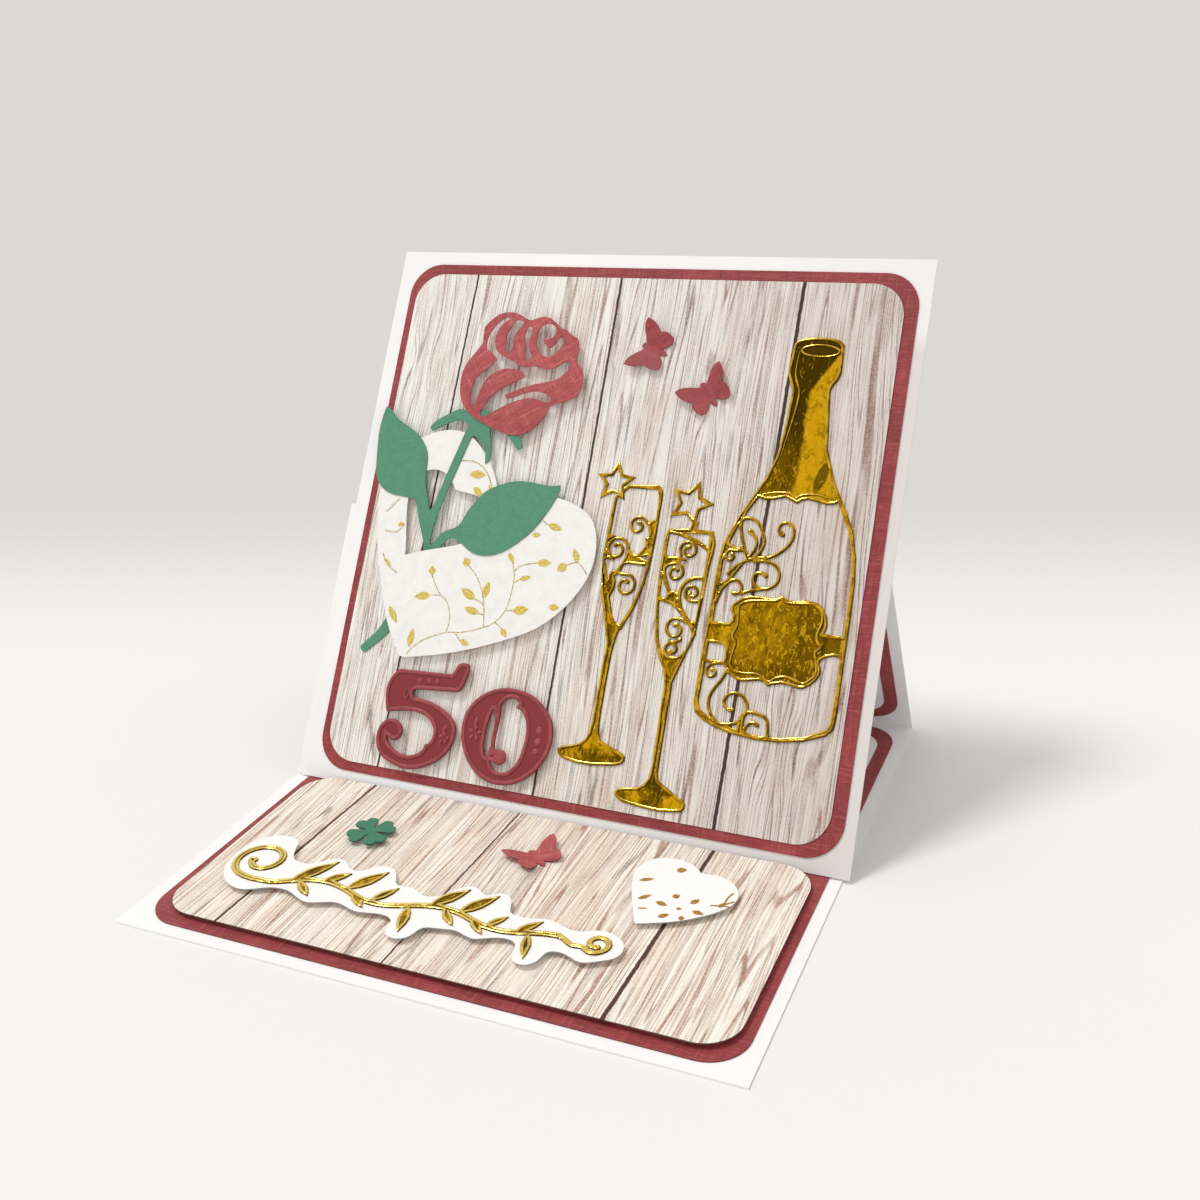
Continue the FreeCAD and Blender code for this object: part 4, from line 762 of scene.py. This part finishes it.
def pressBottle():
    lines = Shapes("panel", bottle["out"])
    beads = bottle["beads"]
    lines.bead(oval(*bottle["mouth"]), *beads["mouth"], closed=True, per=1)
    lines.bead(bottle["neck"], *beads["neck"])
    lines.bead(bottle["wave"], *beads["wave"])
    lines.bead(bottle["label"], *beads["label"], closed=True, per=3)
    lines.piece("bottle_lines", litAndShadedGold, "gold_mirror_card")
    # painted shade: a dark gold sheet laid in the bottle's mouth
    mouthShadeGold = Finish("goldMouth", "panel", Metallic=1.0, Roughness=0.25, Base_Color=tone(86, 62, 6))
    mouth = Shapes("panel", bottle["out"] + 0.02)
    right, up, wide, tall = bottle["mouth"]
    edge = oval(right, up, wide - beads["mouth"][0], tall - beads["mouth"][0])
    mouth.join(mouth.spots(edge), [tuple(range(len(edge)))])
    mouth.piece("bottle_mouth", mouthShadeGold, "gold_mirror_card", smooth=False)


pressBottle()


# ornaments of the numerals
numerals = {
    "out": 2.1,
    # places and reaches of the dots and the ball, then their heights
    "dots": [(-41.6, 29.7, 0.85), (-38.8, 30, 0.8), (-36.4, 30.1, 0.75), (-5.2, 21.9, 0.95), (-5.1, 19, 0.9),
             (-5.3, 16.5, 0.8)],
    "ball": (-14.7, 13.7, 1.9),
    "dotRise": 0.32, "ballRise": 0.5,
    # middle of a flower, reach of its petals, tip of its leaf; the turns of the petals
    "flowers": [(-31.5, 15.9, 1.6, 19.4), (-22.9, 18.6, 2, 23)],
    "turns": (15, 87, 159, 231, 303),
    "window": (-44.8, 25.9, 0.6, 1.3),
    # half width and height of each bead
    "beads": {"petal": (0.5, 0.34), "leaf": (0.55, 0.34), "window": (0.24, 0.24)},
}


def pressNumerals():
    shapes = Shapes("panel", numerals["out"])
    beads = numerals["beads"]
    for right, up, reach in numerals["dots"]:
        shapes.dome(right, up, reach, numerals["dotRise"])
    shapes.dome(*numerals["ball"], numerals["ballRise"])
    for right, up, reach, tip in numerals["flowers"]:
        for turn in numerals["turns"]:
            cosine, sine = math.cos(math.radians(turn)), math.sin(math.radians(turn))
            petal = [(right + out * cosine, up + out * sine) for out in (0.35, reach * 0.7, reach)]
            shapes.bead(petal, *beads["petal"])
        leaf = [(right, up + reach * 0.6), (right - 0.3, (up + tip) / 2 + 0.5), (right, tip)]
        shapes.bead(leaf, *beads["leaf"])
    shapes.bead(oval(*numerals["window"], 12), *beads["window"], closed=True, per=1)
    shapes.piece("numeral_ornaments", rimRed, "red_card")


pressNumerals()


# gold print of the hearts
vine = {
    "out": 2.13, "stroke": 0.26,
    "stems": [
        [(-47.3, 36), (-45.5, 38.3), (-42.5, 40.7), (-36.7, 43.2), (-32.1, 43.8), (-26.1, 45.8), (-23, 47.7),
         (-20.7, 50.9), (-19.9, 55.2), (-19.8, 59.6), (-20.2, 61.4), (-21.2, 63.9), (-22.7, 65.6)],
        [(-36.7, 43.2), (-36.3, 46.1), (-37.1, 49.6), (-38.5, 51.7), (-40.6, 53.1), (-43.5, 57),
         (-44.1, 58.3)],
        [(-40.5, 52.8), (-43, 52.6)],
        [(-26.1, 45.8), (-26.6, 49.5), (-27.5, 53), (-28.5, 55.5), (-30.7, 58.9), (-33.8, 61.7)],
        [(-27.3, 51.7), (-28.4, 52.4), (-30, 52.9)],
        [(-26.7, 49.1), (-28.3, 49.3)],
        [(-20.7, 50.9), (-18.6, 51.2)],
        [(-19.6, 58.5), (-18.3, 59.5)],
        [(-20.2, 61.4), (-18.8, 62.9), (-16.1, 63.9), (-14.2, 64.3)],
        [(-14.5, 75.5), (-12.9, 74.6)],
        [(0.2, 62.7), (-0.3, 63.5), (-2.8, 65.6), (-5.7, 64.6)],
        [(-23, 47.5), (-21.6, 46.8), (-20.9, 46.2)],
        [(-34, 43.5), (-32.1, 41.5)],
        [(-60.3, 62.4), (-58.6, 59.6), (-54.9, 57.4)],
        [(-61, 68.6), (-57.4, 68.5), (-55.4, 70.8)],
        [(-61.8, 73.8), (-60.5, 75.3), (-58.4, 77.8)],
        [(-41.7, 89.7), (-38.7, 89.9), (-35.4, 88.8), (-32.9, 86.4), (-31.4, 83.8)],
    ],
    "leaves": [
        # foot, tip, width
        (-44, 57.9, -44.5, 60.4, 2.2), (-43.3, 52.5, -48.2, 51.5, 2.2), (-33.7, 61.4, -35.3, 63.5, 2.4),
        (-27.7, 53.3, -26.7, 58.1, 2.1), (-30, 52.9, -34.6, 55.4, 2.4), (-28.1, 49.3, -32.7, 50.4, 2),
        (-18.6, 51.1, -14.1, 52.1, 2.4), (-18.3, 59.5, -15.1, 60.6, 1.4), (-14.2, 64.3, -9.9, 64.8, 2),
        (-12.9, 74.7, -8.6, 73.6, 1.9), (-17, 71.4, -14.5, 71.8, 1.3), (-5.7, 64.8, -8.1, 62.9, 2.4),
        (-2.7, 65.5, -4.5, 69.2, 1.8), (-8.6, 53.3, -5.6, 53.4, 1.7), (-20.9, 46.2, -19, 44.2, 1.6),
        (-32.1, 41.7, -29.4, 40.8, 1.6), (-46.9, 38, -46.6, 43.3, 2), (-55.2, 48.2, -51.8, 43.8, 1.8),
        (-38.5, 86.3, -33.5, 86.3, 2.2), (-36.4, 82.8, -33.6, 80.3, 1.9), (-32.1, 83.7, -31, 82.4, 1.1),
        (-22.7, 66.2, -20.6, 63.5, 1.2), (-57.4, 70.4, -55.4, 71.1, 1.1), (-59.3, 60.9, -56.8, 58.3, 1),
    ],
}
dashes = {
    "out": 3.73, "stroke": 0.4,
    "leaves": [
        (39.7, -17.9, 42, -16.8, 2), (33, -24.4, 36.2, -22.6, 1.3), (35.4, -31.2, 37.9, -28.6, 1.3),
        (39.6, -30.7, 42.6, -31.4, 1.5), (42.5, -28, 43.9, -26.8, 1.7), (47.1, -29, 48.5, -26.7, 1.5),
        (44.7, -31.7, 46, -31.4, 0.9), (42, -36, 44.1, -34.1, 1.5), (48.4, -31.4, 51.2, -31.8, 1.5),
        (47.1, -35.4, 46.9, -33.8, 1.3), (53.2, -28.2, 54.4, -26.2, 1.2),
    ],
    "stems": [
        [(36.8, -34.3), (38.6, -33.9)],
        [(51.4, -28.1), (53.2, -27.6), (54, -26.5), (54.2, -23.9), (54.8, -22)],
        [(53.9, -27.1), (55.2, -25.8), (56, -25)],
        [(53.3, -27.7), (54.8, -27.3), (55.8, -27.4)],
    ],
}


def glitterFinish():
    # gold glitter in relief, with dark grains
    finish = Finish("glitterGold", "panel", Metallic=0.25, Roughness=0.35)
    grit = finish.noise(2.6, 2.6, 3, detail=3)
    spark = finish.noise(4.5, 4.5, 8, detail=2)
    face = finish.blend(grit.step(0.4, 0.56), tone(255, 248, 176), tone(238, 206, 56))
    face = finish.blend(spark.step(0.5, 0.58) * 0.9, face, tone(168, 128, 24))
    finish.paint("Base Color", face)
    finish.bump(spark, 0.05, 0.8)
    return finish


inks = {
    "glitterLine": {"plane": "panel", "metal": 0.2, "rough": 0.5, "grain": 1.4, "seed": 5, "detail": 3,
                    "cover": (0.36, 0.6), "tones": ((238, 222, 176), (176, 146, 66))},
    "bronzeInk": {"plane": "base", "metal": 0.3, "rough": 0.45, "grain": 1.6, "seed": 4, "detail": 4,
                  "cover": (0.35, 0.65), "tones": ((166, 112, 34), (200, 150, 70))},
}


def inkFinish(name):
    # gold ink in two tones that cover the card unevenly
    ink = inks[name]
    finish = Finish(name, ink["plane"], Metallic=ink["metal"], Roughness=ink["rough"])
    cover = finish.noise(ink["grain"], ink["grain"], ink["seed"], detail=ink["detail"]).step(*ink["cover"])
    first, second = ink["tones"]
    return finish.paint("Base Color", finish.blend(cover, tone(*first), tone(*second)))


def printHearts():
    leaves, stems = Shapes("panel", vine["out"]), Shapes("panel", vine["out"])
    for leaf in vine["leaves"]:
        leaves.leaf(*leaf)
    for stem in vine["stems"]:
        stems.line(stem, vine["stroke"])
    leaves.piece("heart_leaves", glitterFinish(), "white_card", smooth=False)
    stems.piece("heart_stems", inkFinish("glitterLine"), "white_card", smooth=False)
    strokes = Shapes("base", dashes["out"])
    for leaf in dashes["leaves"]:
        strokes.leaf(*leaf)
    for stem in dashes["stems"]:
        strokes.line(stem, dashes["stroke"])
    strokes.piece("small_heart_print", inkFinish("bronzeInk"), "white_card", smooth=False)


printHearts()
print("prints ready")
